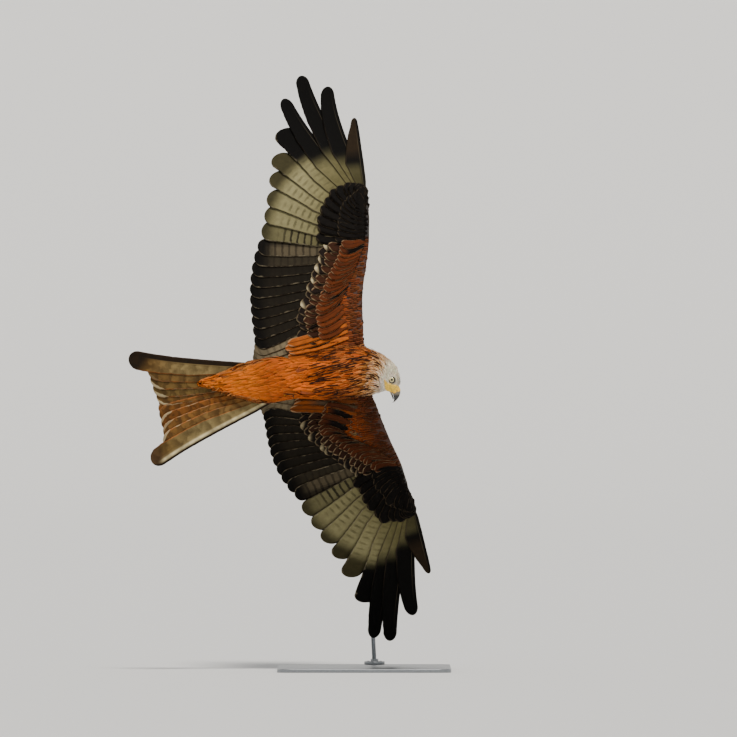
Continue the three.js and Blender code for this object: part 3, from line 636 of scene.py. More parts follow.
# Plumage: the vane's own colour, bars across it, paler edges, a streak and a fine shaft
# along the middle, and barbs. quill is millimetres across, millimetres along and share
# along; form is share across and chance; marks is streak, edge and bars
plainLook = {"grain": 90, "streakFrom": 0.1, "tipEdge": 0.5, "rough": 0.62, "sheen": 0.0}
looks = {
    "body": {"dark": "5a220a", "edge": "f0a35a", "streak": "1c0b05", "streakWide": 2.6,
             "edgeFrom": 0.45, "mottle": 0.25, "specular": 0.1, "barb": 0.14, "relief": 0.25},
    "head": {"dark": "8d8270", "edge": "fbf3e2", "streak": "2c2018", "streakWide": 0.5,
             "streakFrom": 0.2, "edgeFrom": 0.6, "grain": 160, "mottle": 0.08,
             "specular": 0.25, "sheen": 0.12, "barb": 0.05, "relief": 0.12},
    "covert": {"dark": "120b07", "edge": "d9bd92", "streak": "120804", "streakWide": 1.2,
               "edgeFrom": 0.85, "mottle": 0.3, "specular": 0.06, "barb": 0.12, "relief": 0.25},
    "flight": {"dark": "080706", "edge": "b9ab8c", "streak": "120d0a", "streakWide": 1.2,
               "bar": "14100c", "barGap": 16, "barWander": 6, "barEnds": (0.2, 0.85),
               "shaft": "5a5140", "shaftShare": 0.4, "edgeFrom": 0.93, "tipEdge": 0.05,
               "mottle": 0.18, "specular": 0.05, "barb": 0.1, "relief": 0.25},
    "tail": {"dark": "241606", "edge": "ead9ac", "streak": "2a1a0e", "streakWide": 1.2,
             "bar": "2c1c0c", "barGap": 27, "barWander": 60, "barEnds": (-0.2, 1.0),
             "shaft": "a08a5c", "shaftShare": 0.4, "edgeFrom": 0.94, "tipEdge": 0.3,
             "grain": 55, "mottle": 0.55, "specular": 0.1, "barb": 0.12, "relief": 0.25},
}
barbGap, barbDeep = 1.4, 0.0003


def plumage(name, look):
    p, look = Paint(name), {**plainLook, **look}
    across, along, share = p.parts("quill")
    reach, chance = p.parts("form")[:2]
    streak, edge, bars = p.parts("marks")
    side, reachSide, grain = across.math("ABSOLUTE"), reach.math("ABSOLUTE"), p.noise(look["grain"])
    base = p.mix(p.ease(grain, 0.3, 0.7) * look["mottle"], p.colour("tint"), ink(look["dark"]))
    if "bar" in look:
        gap = look["barGap"]
        wave = ((along + chance * gap + grain * look["barWander"]) * (2 * math.pi / gap)).math("SINE")
        base = p.mix(p.ease(wave, *look["barEnds"]) * bars, base, ink(look["bar"]))
    fringe = reachSide + p.ease(share, 0.86, 1.0) * look["tipEdge"] + (grain - 0.5) * 0.4
    base = p.mix(p.ease(fringe, look["edgeFrom"], 1.0) * edge, base, ink(look["edge"]))
    half, first = look["streakWide"], look["streakFrom"]
    line = 1 - p.ease(side + (grain - 0.5) * half, half * 0.35, half)
    base = p.mix(line * p.ease(share, first, first + 0.25) * streak, base, ink(look["streak"]))
    if "shaft" in look:
        shaft = (1 - p.ease(side, 0.25, 0.95)) * (1 - p.ease(share, 0.55, 0.95))
        base = p.mix(shaft * look["shaftShare"], base, ink(look["shaft"]))
    barb = ((along - side * 1.3) * (2 * math.pi / barbGap)).math("SINE")
    base = p.mix((barb * 0.5 + 0.5) * look["barb"], base, ink(look["dark"]))
    return p.finish({
        "Base Color": base, "Normal": p.bump(barb, look["relief"], barbDeep), "Roughness": look["rough"],
        "Specular IOR Level": look["specular"], "Sheen Weight": look["sheen"], "Sheen Roughness": 0.4,
    })


plumes = {name: plumage(name + "Plumage", look) for name, look in looks.items()}


# A plainer finish: the tint with fine spots of a darker one and a slight relief
def finish(name, scale, share, dark, height, sockets):
    p = Paint(name)
    grain = p.noise(scale)
    return p.finish({
        "Base Color": p.mix(p.ease(grain, 0.35, 0.7) * share, p.colour("tint"), ink(dark)),
        "Normal": p.bump(grain, height, 0.0005), **sockets,
    })


finishes = {
    "skin": finish("skin", 260, 0.4, "3a2a1e", 0.3, {"Roughness": 0.7}),
    "horn": finish("horn", 500, 0.15, "0c0a09", 0.06, {"Roughness": 0.32, "Coat Weight": 0.25}),
    "yellow": finish("yellowSkin", 700, 0.3, "c07c14", 0.15, {"Roughness": 0.42}),
    "lids": finish("lids", 900, 0.2, "0a0807", 0.2, {"Roughness": 0.45}),
    "eye": finish("eyeball", 900, 0.0, "0a0807", 0.0, {
        "Roughness": 0.12, "Coat Weight": 1.0, "Coat Roughness": 0.03,
    }),
    "steel": finish("standSteel", 260, 0.25, "5d6165", 0.04, {"Roughness": 0.38, "Metallic": 0.85}),
}
print("scene: materials ready")

skin = {
    "voxel": 2.6, "rounds": 3, "sides": 40, "steps": 44,
    # Its tint next to the coat's, and on the arm and the hand
    "shade": 0.7, "arm": "3a1c10", "hand": "0a0807",
}


def turns(sides):
    return np.arange(sides)[None] / sides * 2 * np.pi


def armShell(wing):
    out = np.linspace(6, wing["handTip"][1] + 12, skin["steps"])[:, None]
    along, high = armRing(wing, out, turns(28))
    return wingPlace(wing)(together(along.shape, along, out, high))


# A ball stretched along its three axes: cos v, sin v cos w, sin v sin w
def ballShell(middle, sizes, axes=birdAxes, steps=20, sides=28):
    down = np.linspace(0.02, np.pi - 0.02, steps)[:, None]
    turn, out = turns(sides), np.sin(down)
    grid = together((steps, sides), np.cos(down), out * np.cos(turn), out * np.sin(turn))
    return fromPart(grid * sizes + middle, axes)


# One value of all vertices, corners or faces
def readAll(items, key, kind, size=1):
    values = np.zeros(len(items) * size, kind)
    items.foreach_get(key, values)
    return values


# One skin over all parts: their shells are joined on a grid of voxels, then each point is
# drawn to its depth under the coat
def buildSkin():
    shells = []
    for name, part in lofts.items():
        low, high = part["rings"][0][0], part["rings"][-1][0]
        along = np.linspace(low, high, skin["steps"])[:, None]
        shells.append(onLoft(name, along, turns(skin["sides"])))
    shells += [ballShell(ball["middle"], ball["sizes"], ball["axes"]) for ball in balls.values()]
    shells += [armShell(wing) for wing in wings.values()]
    rough = shellPiece("roughSkin", shells, [0] * len(shells), finishes["skin"], birdAxes)
    change = rough.modifiers.new("Voxels", "REMESH")
    change.mode = "VOXEL"
    change.voxel_size = skin["voxel"] / 1000
    made = rough.evaluated_get(bpy.context.evaluated_depsgraph_get()).to_mesh()
    co = readAll(made.vertices, "co", np.float32, 3)
    corners = readAll(made.loops, "vertex_index", np.int32)
    totals = readAll(made.polygons, "loop_total", np.int32)
    rough.to_mesh_clear()
    bpy.data.objects.remove(rough)
    where = unput(co.reshape(-1, 3).astype(float))
    for _ in range(skin["rounds"]):
        where = drawTo(where, -coatAt(where), 1)
    return where, corners, totals


# Colours of the plumage over the flesh, all blended by where a feather grows, and where
# each sets in: along the bird, away from the head, or forward and up on it
coatColours = {
    "belly": "c65c0a", "breast": "a84a0b", "neck": "d29a58", "nape": "cba373", "head": "f8ebd0",
    "crown": "efe2c4", "face": "fbf4e6", "vent": "b4520a", "undertail": "cc660c",
    "back": "4a2a1a", "rump": "8a4a22", "brow": "2a1c12",
}
coatFrom = {
    "over": (-0.15, 0.35), "breast": (-40, 30), "vent": (70, 120), "undertail": (130, 170),
    "rump": (90, 150), "neck": (46, 88), "head": (31, 52), "nape": (-62, -34), "crown": (2, 16),
    "face": (4, 16), "cheek": (-20, 5), "browFront": (5, 8), "browEnd": (-20, -17), "browWide": (0.8, 2),
}


# Colour of the coat at places on the flesh, its streaks and edges, and the shares of neck
# and back there
def coatLook(points):
    c = {key: ink(value) for key, value in coatColours.items()}
    x = points[:, 0]
    f, _, u = toPart(points, headAxes).T
    over = ease(bodyNormal(points)[:, 2], *coatFrom["over"])
    under = tone(c["belly"], c["breast"], ease(x, *coatFrom["breast"]))
    for key in ("vent", "undertail"):
        under = tone(under, c[key], ease(-x, *coatFrom[key]))
    colour = tone(under, tone(c["back"], c["rump"], ease(-x, *coatFrom["rump"])), over)
    away = np.linalg.norm(points - headAxes[0], axis=1)
    nearHead = 1 - ease(away, *coatFrom["neck"])
    colour = tone(colour, tone(c["neck"], c["nape"], over), nearHead * 0.95)
    onHead = (1 - ease(away, *coatFrom["head"])) * ease(f, *coatFrom["nape"])
    face = tone(c["head"], c["crown"], ease(u, *coatFrom["crown"]))
    face = tone(face, c["face"], ease(-u, *coatFrom["face"]) * ease(f, *coatFrom["cheek"]))
    # Painted shadow of the brow ridge: a dark line from over the eye to the forehead
    onBrowShadow = 1 - ease(np.abs(u - 17.5 + 0.36 * (f - 8)), *coatFrom["browWide"])
    onBrowShadow = ease(f, *coatFrom["browFront"]) * ease(-f, *coatFrom["browEnd"]) * onBrowShadow
    colour = tone(colour, tone(face, c["brow"], onBrowShadow * 0.8), onHead)
    streak = blend(0.12 + 0.88 * ease(x, -60, 10), 0.8, over)
    streak = np.maximum(streak, nearHead * 0.95) * blend(1, 0.7, onHead)
    edge = 0.22 + 0.3 * ease(x, -20, 40) + 0.25 * over * (1 - nearHead)
    return {"tint": colour, "streak": streak, "edge": edge, "neck": nearHead, "back": over}


def dressSkin():
    where, corners, totals = buildSkin()
    piece = meshFrom("skinCoat", where, corners, totals, finishes["skin"])
    tint = coatLook(where)["tint"] * skin["shade"]
    for wing in wings.values():
        out, wrist = wingFlat(wing, where)[:, 1], wing["wrist"][1]
        tint = tone(tint, ink(skin["arm"]), ease(out, 55, 90))
        tint = tone(tint, ink(skin["hand"]), ease(out, wrist - 15, wrist + 10))
    bare = tone(ink(lore["colour"]), ink(lore["shade"]), ease(-toPart(where, headAxes)[:, 0], -6, 6))
    addValues(piece.data, "tint", tone(tint, bare, loreShare(where)))
    # Each face keeps to one part's rectangle, and none wraps round its seam
    starts = np.cumsum(totals) - totals
    middles = np.add.reduceat(where[corners], starts) / totals[:, None]
    mid = np.repeat(chartAt(middles), totals, 0)
    uv = chartAt(where[corners], np.repeat(chartKind(middles), totals))
    wrapped = np.abs(uv[:, 1] - mid[:, 1]) > 0.2
    uv[wrapped, 1] = mid[wrapped, 1]
    addUv(piece.data, uv)
    return piece


pieces = {"skinCoat": dressSkin()}
print("scene: skin", len(pieces["skinCoat"].data.polygons), "faces")

contour = {
    "shares": [0, 0.16, 0.34, 0.52, 0.7, 0.84, 0.94, 1.0], "columns": [-1, -0.55, 0, 0.55, 1],
    # Steps between roots: along the part, round it
    "body": [7.8, 6.2], "rump": [8.0, 8.4], "vent": [10.0, 6.6], "head": [3.0, 3.1], "nape": [5.0, 4.6],
    # Lengths and half widths by where they grow
    "long": {"belly": 42, "breast": 36, "neck": 24, "undertail": 60,
             "crown": 9.5, "face": 5.2, "nape": 18},
    "wide": {"belly": 5.8, "breast": 5.4, "neck": 3.4, "back": 8.6,
             "crown": 1.8, "face": 1.15, "nape": 2.6},
    # Lift of the tips, and how much deeper than the coat the roots sit
    "lift": 1.1, "headLift": [0.25, 0.8], "deeper": 1.5, "headDeeper": 0.6,
    # Thickness, fall of the sides next to their width, unevenness of the outline,
    # and of the tint, in all and by colour
    "thick": 0.34, "fall": 0.16, "ragged": 0.12, "tintSpread": [0.16, 0.05],
    # Dark lances: how many, then length, width and depth next to the rest, and extra lift
    "lance": {"share": 0.32, "long": 1.15, "wide": 0.75, "depth": 0.4, "lift": 1.6},
}


# Even places on a loft: rows along it and places round each row, every other row shifted
def placesOn(name, step, low, high):
    at = np.arange(low, high, step[0])
    _, wide, top, bottom = columnsAt(at, lofts[name]["rings"])
    girth = 2 * np.pi * np.sqrt((wide ** 2 + ((top - bottom) / 2) ** 2) / 2)
    number = np.maximum(6, (girth / step[1]).astype(int))
    row = np.repeat(np.arange(len(at)), number)
    index = np.arange(number.sum()) - (np.cumsum(number) - number)[row]
    jitter = rng.uniform(-0.3, 0.3, (2, len(row)))
    turn = (index + 0.5 * (row % 2) + jitter[0]) / number[row] * 2 * np.pi
    return onLoft(name, at[row] + jitter[1] * step[0], turn)


# Places swallowed by another part of the flesh are left out. Those in a thigh stay, as
# they are drawn out to its surface
def openPlaces(points, name, room=2.5):
    kept = (name, "thighRight", "thighLeft")
    others = [gap for key, gap in partGaps(points).items() if key not in kept]
    return points[np.minimum.reduce(others) > -room]


# Way the coat lies: away from the bill's tip over the head, straight to the tail elsewhere
billTip = fromPart(np.array([58, 0, -6.0]), headAxes)


def coatWay(points):
    near = (1 - ease(np.linalg.norm(points - headAxes[0], axis=-1), 34, 84))[..., None]
    back = together(points.shape[:-1], -1, -0.004 * points[..., 1], 0)
    return unit(blend(unit(back), unit(points - billTip), near))


# Feathers laid over the flesh: from each root the shaft walks along the lie of the coat,
# kept at a height over the skin that grows from the root to the tip. size holds length,
# half width, depth of the root, lift of the tip, how pointed it is and its bend
def featherPiece(name, roots, look, size, material, lie=coatWay):
    length, wide, depth, lift, point, bend = size
    share, u = np.array(contour["shares"]), np.array(contour["columns"])
    count, rows = len(roots), len(share)
    level = -depth[:, None] * (1 - share) ** 1.6 + lift[:, None] * ease(share, 0, 0.8)
    spine = [drawTo(roots, level[:, 0])]
    for k in range(1, rows):
        here = spine[-1]
        normal, way = bodyNormal(here), lie(here)
        flat = way - normal * np.sum(way * normal, -1, keepdims=True)
        way = unit(flat + np.cross(normal, way) * bend[:, None])
        here = here + way * (length * (share[k] - share[k - 1]))[:, None]
        spine.append(drawTo(here, level[:, k], 1))
    spine = np.stack(spine, 1)
    normal = bodyNormal(spine)
    side = unit(np.cross(normal, unit(np.gradient(spine, axis=1))))
    # Outline: a swelling that rounds off at the tip, or a lance for pointed ones
    tip = np.sqrt(np.clip(1 - np.clip((share - 0.62) / 0.38, 0, 1) ** 2.2, 0.02, 1))
    lance = np.clip(1 - share, 0.03, 1) ** 0.75 * ease(share, -0.3, 0.3) * 1.25
    half = wide[:, None] * blend(ease(share, -0.25, 0.42) * tip, lance, point[:, None])
    half = half[:, :, None] * (1 + rng.uniform(-contour["ragged"], contour["ragged"], (count, rows, 1)))
    thin = (contour["thick"] * (1 - 0.6 * share))[None, :, None]
    middle, out = spine[:, :, None], normal[:, :, None]
    over = middle + side[:, :, None] * (half * u)[..., None]
    over = over + out * (thin * (1 - u * u) - contour["fall"] * half * u * u)[..., None]
    under = middle - out * thin[..., None] * 1.6
    chance = rng.uniform(0, 1, count)
    inAll, byColour = contour["tintSpread"]
    light = np.exp(rng.normal(0, inAll, (count, 1))) * (1 + rng.normal(0, byColour, (count, 3)))
    tint = np.clip(look["tint"] * light, 0, 1)[:, None, None]
    marks = together((count,), look["streak"], look["edge"], 0)[:, None, None]
    sheaf = {"over": over, "under": under, "below": [len(u) // 2], "across": half * u, "length": length,
             "share": share, "u": u, "chance": chance, "tint": (tint, tint), "marks": (marks, marks)}
    return vanesPiece(name, [sheaf], material, rootPatches(roots))


def growBody():
    vent = openPlaces(placesOn("vent", contour["vent"], -56, 178), "vent")
    inTail = toPart(vent, tailAxes)
    vent = vent[(inTail[:, 0] < 40) | (inTail[:, 2] < -8)]
    roots = drawTo(np.concatenate([
        openPlaces(placesOn("body", contour["body"], -160, 100), "body"),
        openPlaces(placesOn("rump", contour["rump"], 0, 34), "rump"), vent,
    ]), 0)
    keep = np.linalg.norm(roots - headAxes[0], axis=1) > 38
    for wing in wings.values():
        keep &= wingFlat(wing, roots)[:, 1] < 74
    roots = roots[keep]
    look = coatLook(roots)
    count, x, neck, back = len(roots), roots[:, 0], look["neck"], look["back"]
    # Dark lances lie over the plainer feathers of breast and neck
    dark, long, broad = contour["lance"], contour["long"], contour["wide"]
    lance = (rng.uniform(0, 1, count) < dark["share"]) & (back < 0.6) & (look["streak"] > 0.3)
    look["streak"] = np.where(lance, 1.0, look["streak"] * blend(0.12, 1, back))
    length = blend(blend(long["belly"], long["breast"], ease(x, -20, 50)), long["neck"], neck)
    length = blend(length, long["undertail"], ease(-x, 90, 150) * (1 - back)) * vary(0.15, count)
    wide = blend(blend(broad["belly"], broad["breast"], ease(x, -40, 40)), broad["neck"], neck)
    wide = blend(wide, broad["back"], back * (1 - neck)) * vary(0.15, count)
    length, wide = length * np.where(lance, dark["long"], 1), wide * np.where(lance, dark["wide"], 1)
    lift = contour["lift"] * rng.uniform(0.3, 1.1, count) + dark["lift"] * lance
    depth = np.where(lance, dark["depth"], 1) * (coatAt(roots) + contour["deeper"])
    point = np.where(lance, 0.9, 0.75 + 0.2 * neck - 0.6 * back) + rng.normal(0, 0.1, count)
    size = (length, wide, depth, lift, np.clip(point, 0, 1), rng.normal(0, 0.07, count))
    return featherPiece("bodyFeathers", roots, look, size, plumes["body"])


eye = {
    "side": 11.2, "ball": 8.2, "clear": 8.6, "pupil": 3.1, "iris": 6.2, "cornea": 0.035, "corneaDeg": 26,
    "irisDark": "cfc07a", "irisLight": "f0e6ae", "rim": "2a2116", "white": "2a2420", "black": "050505",
    "lidWide": 6.9, "lidHigh": 6.3, "lidTube": 1.5, "lidSide": 16.2, "lidBow": 0.012, "lid": "1c1814",
}


def growHead():
    roots = drawTo(np.concatenate([
        openPlaces(placesOn("head", contour["head"], -52, 21), "head", 4),
        openPlaces(placesOn("body", contour["nape"], 50, 100), "body", 4),
    ]), 0)
    f, l, u = toPart(roots, headAxes).T
    away = np.linalg.norm(roots - headAxes[0], axis=1)
    keep = (away < 66) & (loreShare(roots) < 0.35) & (f < 20.5)
    keep &= np.hypot(f - 0.5, u) > np.where(np.abs(l) > 8, eye["clear"], 0)
    roots, f, away = roots[keep], f[keep], away[keep]
    look = coatLook(roots)
    look["streak"] = look["streak"] * (rng.uniform(0, 1, len(roots)) < blend(0.55, 0.9, look["neck"]))
    count = len(roots)
    nape, face, long, broad = ease(away, 24, 62), ease(f, -12, 14), contour["long"], contour["wide"]
    length = blend(blend(long["crown"], long["face"], face), long["nape"], nape) * vary(0.15, count)
    wide = blend(blend(broad["crown"], broad["face"], face), broad["nape"], nape) * vary(0.15, count)
    lift = blend(*contour["headLift"], nape) * rng.uniform(0.3, 1.2, count)
    point = np.clip(0.75 + rng.normal(0, 0.1, count), 0, 1)
    depth = np.full(count, coatDepth["head"] + contour["headDeeper"])
    size = (length, wide, depth, lift, point, rng.normal(0, 0.05, count))
    return featherPiece("headFeathers", roots, look, size, plumes["head"])


pieces["bodyFeathers"] = growBody()
pieces["headFeathers"] = growHead()
print("scene: contour feathers", [len(piece.data.polygons) for piece in pieces.values()])

# Outline of a vane: share of its length, then shares of the outer and of the inner vane
outlines = {
    "round": [[0, 0.3, 0.15], [0.14, 0.75, 0.6], [0.45, 1, 1], [0.8, 0.98, 0.98], [1, 0.95, 0.95]],
    "finger": [[0, 0.4, 0.1], [0.16, 0.85, 0.5], [0.4, 0.9, 0.9], [0.62, 0.88, 0.86], [0.8, 0.9, 0.72],
               [0.9, 0.88, 0.62], [1, 0.85, 0.55]],
    "blade": [[0, 0.4, 0.1], [0.16, 0.85, 0.5], [0.4, 0.9, 0.85], [0.6, 0.85, 0.7], [0.76, 0.85, 0.5],
              [0.88, 0.78, 0.3], [1, 0.6, 0.15]],
    "tail": [[0, 0.6, 0.1], [0.2, 0.95, 0.32], [0.55, 1, 0.85], [0.88, 0.97, 1], [1, 0.95, 1]],
    "covert": [[0, 0.4, 0.3], [0.35, 0.95, 0.95], [0.7, 1, 1], [1, 1, 1]],
}
fineColumns = [-1, -0.7, -0.35, -0.1, 0, 0.06, 0.2, 0.45, 0.72, 0.9, 1]
covertColumns = [-1, -0.6, -0.2, 0, 0.2, 0.6, 1]


# What a vane has unless it says otherwise: how round its end and how ragged its sides are,
# how its height grows, how far its sides fall, and how thick its shaft and web are
plainVane = {"round": 1.1, "ragged": 0.015, "rise": 1.0, "camber": 0.04, "shaft": 0.3, "thick": 0.45}


# Vanes on a flat surface, from root to tip along a shaft that bows. The end is part of an
# ellipse, drawn in towards the middle of the vane; heights are millimetres over the surface
def flatVanes(v, rows, columns, place, outline, surface=None):
    v = {**plainVane, **v}
    table, count, u = outlines[outline], len(v["root"]), np.array(columns)
    outer, inner, bow, rootHigh, tipHigh = (
        np.broadcast_to(np.asarray(v[key], float), (count,))
        for key in ("outer", "inner", "bow", "rootHigh", "tipHigh"))
    share = 1 - (1 - np.linspace(0, 1, rows)) ** 1.5
    width = stepsAt(share, table)
    way = v["tip"] - v["root"]
    length = np.linalg.norm(way, axis=1)
    way = way / length[:, None]
    inward = np.stack([-way[:, 1], way[:, 0]], -1)
    ends = table[-1][1] * outer, table[-1][2] * inner
    end = (v["round"] * (ends[0] + ends[1]) / 2 / length)[:, None]
    tip = np.sqrt(np.clip(1 - (np.clip(share + end - 1, 0, 1) / end) ** 2, 0.003, 1))
    sides = [(size[:, None] * width[:, k] * tip)[..., None] for k, size in enumerate((outer, inner))]
    across = np.where(u < 0, *sides) * u * (1 + v["ragged"] * rng.normal(0, 1, (count, rows, 1)))
    across = across + ((ends[1] - ends[0]) / 2)[:, None, None] * (1 - tip)[..., None]
    # share^2 (1 - share) is 1 / 6.75 at most
    bent = bow[:, None] * 6.75 * share ** 2 * (1 - share)
    flat2 = (v["root"][:, None, None] + way[:, None, None] * (length[:, None] * share)[:, :, None, None]
             + inward[:, None, None] * (across + bent[:, :, None])[..., None])
    level = rootHigh[:, None] + (tipHigh - rootHigh)[:, None] * share ** v["rise"]
    high = level[:, :, None] - across * math.tan(math.radians(v["slat"]))
    high = high - v["camber"] * np.abs(across) * np.abs(u)
    if surface:
        high = high + surface(flat2)
    shaft = np.exp(-(across / 1.1) ** 2) * (1.0 - 0.75 * share)[:, None] * v["shaft"]
    thick = v["thick"] * (1 - 0.4 * share)[:, None] * (1 - 0.8 * u * u) / 2
    over = place(np.concatenate([flat2, (high + thick + shaft * 0.5)[..., None]], -1))
    under = place(np.concatenate([flat2, (high - thick - shaft)[..., None]], -1))
    return {"over": over, "under": under[:, :, 1:-1], "below": slice(1, -1), "across": across,
            "length": length, "share": share, "u": u, "chance": rng.uniform(0, 1, count)}


# A sheaf with its tints and its marks, each a pair: over and under
def dyed(sheaf, tint, marks):
    return {**sheaf, "tint": tint, "marks": marks}


flight = {
    "tertials": 3, "secondaries": 10, "primaries": 10, "fingers": 4, "slotFiller": 22,
    "tintSpread": 0.07,
    "vane": {"rootHigh": 0, "tipHigh": 0, "slat": 3.4, "shaft": 0.45, "ragged": 0.008, "round": 0.9},
    "primary": {"outer": 15, "inner": 39, "bow": -3},
    "finger": {"outer": 8.5, "inner": 41, "shaft": 0.8, "round": 1.9},
    "secondary": {"outer": 15, "inner": 28, "bow": 4},
    "tertial": {"outer": 13, "inner": 27, "bow": 5},
}
firstFinger, lastPrimary = flight["primaries"] - flight["fingers"], flight["primaries"] - 1


# The wing's flight feathers from the innermost out: kind, number, root, tip and sizes
def flightLines(wing):
    elbow, wrist, hand = (np.array(wing[key], float) for key in ("elbow", "wrist", "handTip"))
    inner, outer = np.array(wing["secondaryInner"]), np.array(wing["secondaryOuter"])
    pit = np.array([shoulder["forward"] - 26, shoulder["out"] + 34])
    rows = []
    for j in range(flight["tertials"]):
        share = (j + 0.5) / flight["tertials"]
        tip = inner + [9 * share - 10, 32 * share - 40]
        rows.append(("tertial", j, blend(pit, elbow - [12, 16], share), tip, flight["tertial"]))
    for j in range(flight["secondaries"]):
        share = j / (flight["secondaries"] - 1)
        root = blend(elbow - [12, 4], wrist - [10, 8], share)
        tip = np.array([blend(inner[0], outer[0], share ** 3), blend(inner[1], outer[1], share)])
        rows.append(("secondary", j, root, tip, flight["secondary"]))
    for j in range(flight["primaries"]):
        root = blend(wrist + [-6, 5], hand - 2, j / lastPrimary)
        turn = math.radians(wing["primaryTurnDeg"][j])
        tip = wrist + wing["primaryReach"][j] * np.array([math.sin(turn), math.cos(turn)])
        size = flight["primary"]
        if j == firstFinger - 1:
            size = {**size, "outer": flight["slotFiller"]}
        elif j >= firstFinger:
            size = {**flight["finger"], "bow": 0 if j == lastPrimary else wing["fingerBow"]}
        rows.append(("primary", j, root, tip, size))
    return rows


wingColours = {
    "black": "070605", "soot": "181410", "pale": "8c855f", "olive": "615b3a", "brown": "57442e",
    "grey": "7d7057", "rufous": "b8561a", "buff": "a07c52", "front": "6e3a1e",
    "upper": "2a211b", "upperPale": "6d6253", "upperFront": "4a2c1a", "upperRear": "80603f",
}
wingInks = {key: ink(value) for key, value in wingColours.items()}
# From the innermost primary out: how far its pale part runs, how pale it is, and its bars
paleTo = [0.93, 0.95, 0.92, 0.87, 0.80, 0.67, 0.45, 0.39, 0.35, 0.38]
paleDepth = [0.42, 0.72, 0.86, 0.95, 1, 1, 0.95, 0.9, 0.8, 0.45]
barDepth = [0.85, 0.75, 0.7, 0.65, 0.55, 0.4, 0.1, 0, 0, 0]


# Tints and marks of one flight feather over and under: v runs to the tip, u across
def flightLook(kind, j, v, u):
    c = wingInks
    innerSide = ease(u, -0.1, 0.25)
    seen = ease(u, 0.36, 0.5) * (1 - ease(u, 0.62, 0.86))
    edge = np.full(np.broadcast_shapes(v.shape, u.shape), 0.3)
    if kind == "primary":
        pale = (1 - ease(v, paleTo[j] - 0.1, paleTo[j] + 0.04)) * paleDepth[j]
        pale = pale * (1 - 0.9 * ease(j, 5.5, 8) * (1 - innerSide))
        dark = c["black"] if j > 4 else blend(c["soot"], c["olive"], 0.3)
        under = tone(dark, tone(c["olive"], c["pale"], ease(v, 0.15, 0.7)), pale)
        if j == lastPrimary:
            under = tone(under, c["brown"] * 0.3, ease(v, 0.4, 0.6) * ease(u, -0.5, 0) * 0.7)
        bars = barDepth[j] * ease(v, 0.14, 0.25) * (1 - ease(v, 0.7, 0.88))
        bars = bars * (innerSide if j == 0 else seen)
        over = tone(c["upper"], c["black"], ease(v, 0.4, 0.8))
        over = tone(over, c["upperPale"], innerSide * (1 - ease(v, 0.3, 0.6)) * 0.35)
        edge = edge * (0.8 if j < firstFinger else 0.03)
    elif kind == "secondary":
        last = ease(j, 7.6, 9)
        grey = (0.05 + 0.35 * last) * (0.4 + 0.6 * innerSide) * (1 - ease(v, 0.8, 0.95))
        under = tone(c["black"] * 1.3, c["grey"], grey)
        bars = (0.5 + 0.3 * last) * ease(v, 0.15, 0.4) * (1 - 0.3 * innerSide)
        over = tone(c["upper"], c["upperPale"], 0.12 * innerSide)
    else:
        under = tone(c["grey"], c["soot"], 0.15 + 0.3 * ease(v, 0.7, 1))
        bars = 0.3 * ease(v, 0.2, 0.5)
        over = blend(c["upper"], c["buff"], 0.25)
    marks = together(edge.shape, 0, edge, bars)
    return (over, under), (marks * [1, 0.6, 0.4], marks)


vaneSteps, covertSteps = 46, 18


# A lone feather, lighter or darker than its neighbours by a spread
def loneVane(v, place, outline, look, spread):
    sheaf = flatVanes(v, vaneSteps, fineColumns, place, outline)
    tints, marks = look(sheaf["share"][:, None], np.array(fineColumns)[None])
    light = math.exp(rng.normal(0, spread))
    return dyed(sheaf, tuple(tint * light for tint in tints), marks)


def growFlight(name):
    wing, sheaves = wings[name], []
    for kind, j, root, tip, size in flightLines(wing):
        outline = "round"
        if kind == "primary" and j >= firstFinger:
            outline = "blade" if j == lastPrimary else "finger"
        v = {"root": root[None], "tip": tip[None], **flight["vane"], **size}

        def look(v, u):
            return flightLook(kind, j, v, u)

        sheaves.append(loneVane(v, wingPlace(wing), outline, look, flight["tintSpread"]))
    return vanesPiece("flightFeathers" + name, sheaves, plumes["flight"], cellPatches(len(sheaves), 5))


# Rows of coverts. part is where along the flight feathers they grow; start and end are
# before and behind their roots; high is over the arm. The last item holds what only some
# have: a second tint of some feathers, a pale tip, and shorter feathers outermost
tierParts = {"arm": (0.0, 0.56), "hand": (0.56, 1.0), "pit": (-0.15, 0.04)}
tierKeys = ("part", "count", "start", "end", "outer", "inner", "high", "bow", "tint", "edge", "streak")
plainTier = {"outermost": 1, "base": "000000", "baseShare": 0}
tiers = {
    "Under": [
        ("arm", 14, -8, 90, 12, 19, 3.0, 4, "1c1410", 0.14, 0.1, {"tipTint": "dccba0"}),
        ("hand", 11, -6, 104, 12, 19, 3.0, 2, "0a0806", 0.04, 0.1, {"outermost": 0.2}),
        ("arm", 17, -18, 72, 10, 14, 4.0, 6, "3c2113", 0.28, 0.3, {"base": "080504", "baseShare": 0.5}),
        ("arm", 20, -26, 44, 9, 12, 4.8, 5, "5c2c12", 0.22, 0.5, {"base": "080504", "baseShare": 0.35}),
        ("hand", 13, -12, 60, 10, 13, 4.2, 2, "0a0806", 0.06, 0.1, {"outermost": 0.25}),
        ("pit", 7, -34, 118, 9, 12, 5.6, 3, "a0521a", 0.3, 0.8, {"base": "4a3a2a", "baseShare": 0.25}),
    ],
    "Over": [
        ("arm", 17, -6, 92, 11, 17, 2.4, 3, "3d2f24", 0.4, 0.3, {}),
        ("hand", 11, -6, 98, 10, 16, 2.4, 2, "241c17", 0.2, 0.2, {"outermost": 0.5}),
        ("arm", 19, -18, 56, 10, 13, 3.6, 4, "84664a", 0.7, 0.6, {}),
        ("arm", 20, -26, 34, 9, 12, 4.4, 4, "8d6a44", 0.7, 0.7, {}),
        ("hand", 12, -12, 50, 9, 12, 3.4, 2, "35281f", 0.35, 0.4, {}),
        ("pit", 9, -30, 128, 14, 17, 5.2, 3, "4a2c1c", 0.5, 0.7, {}),
    ],
}
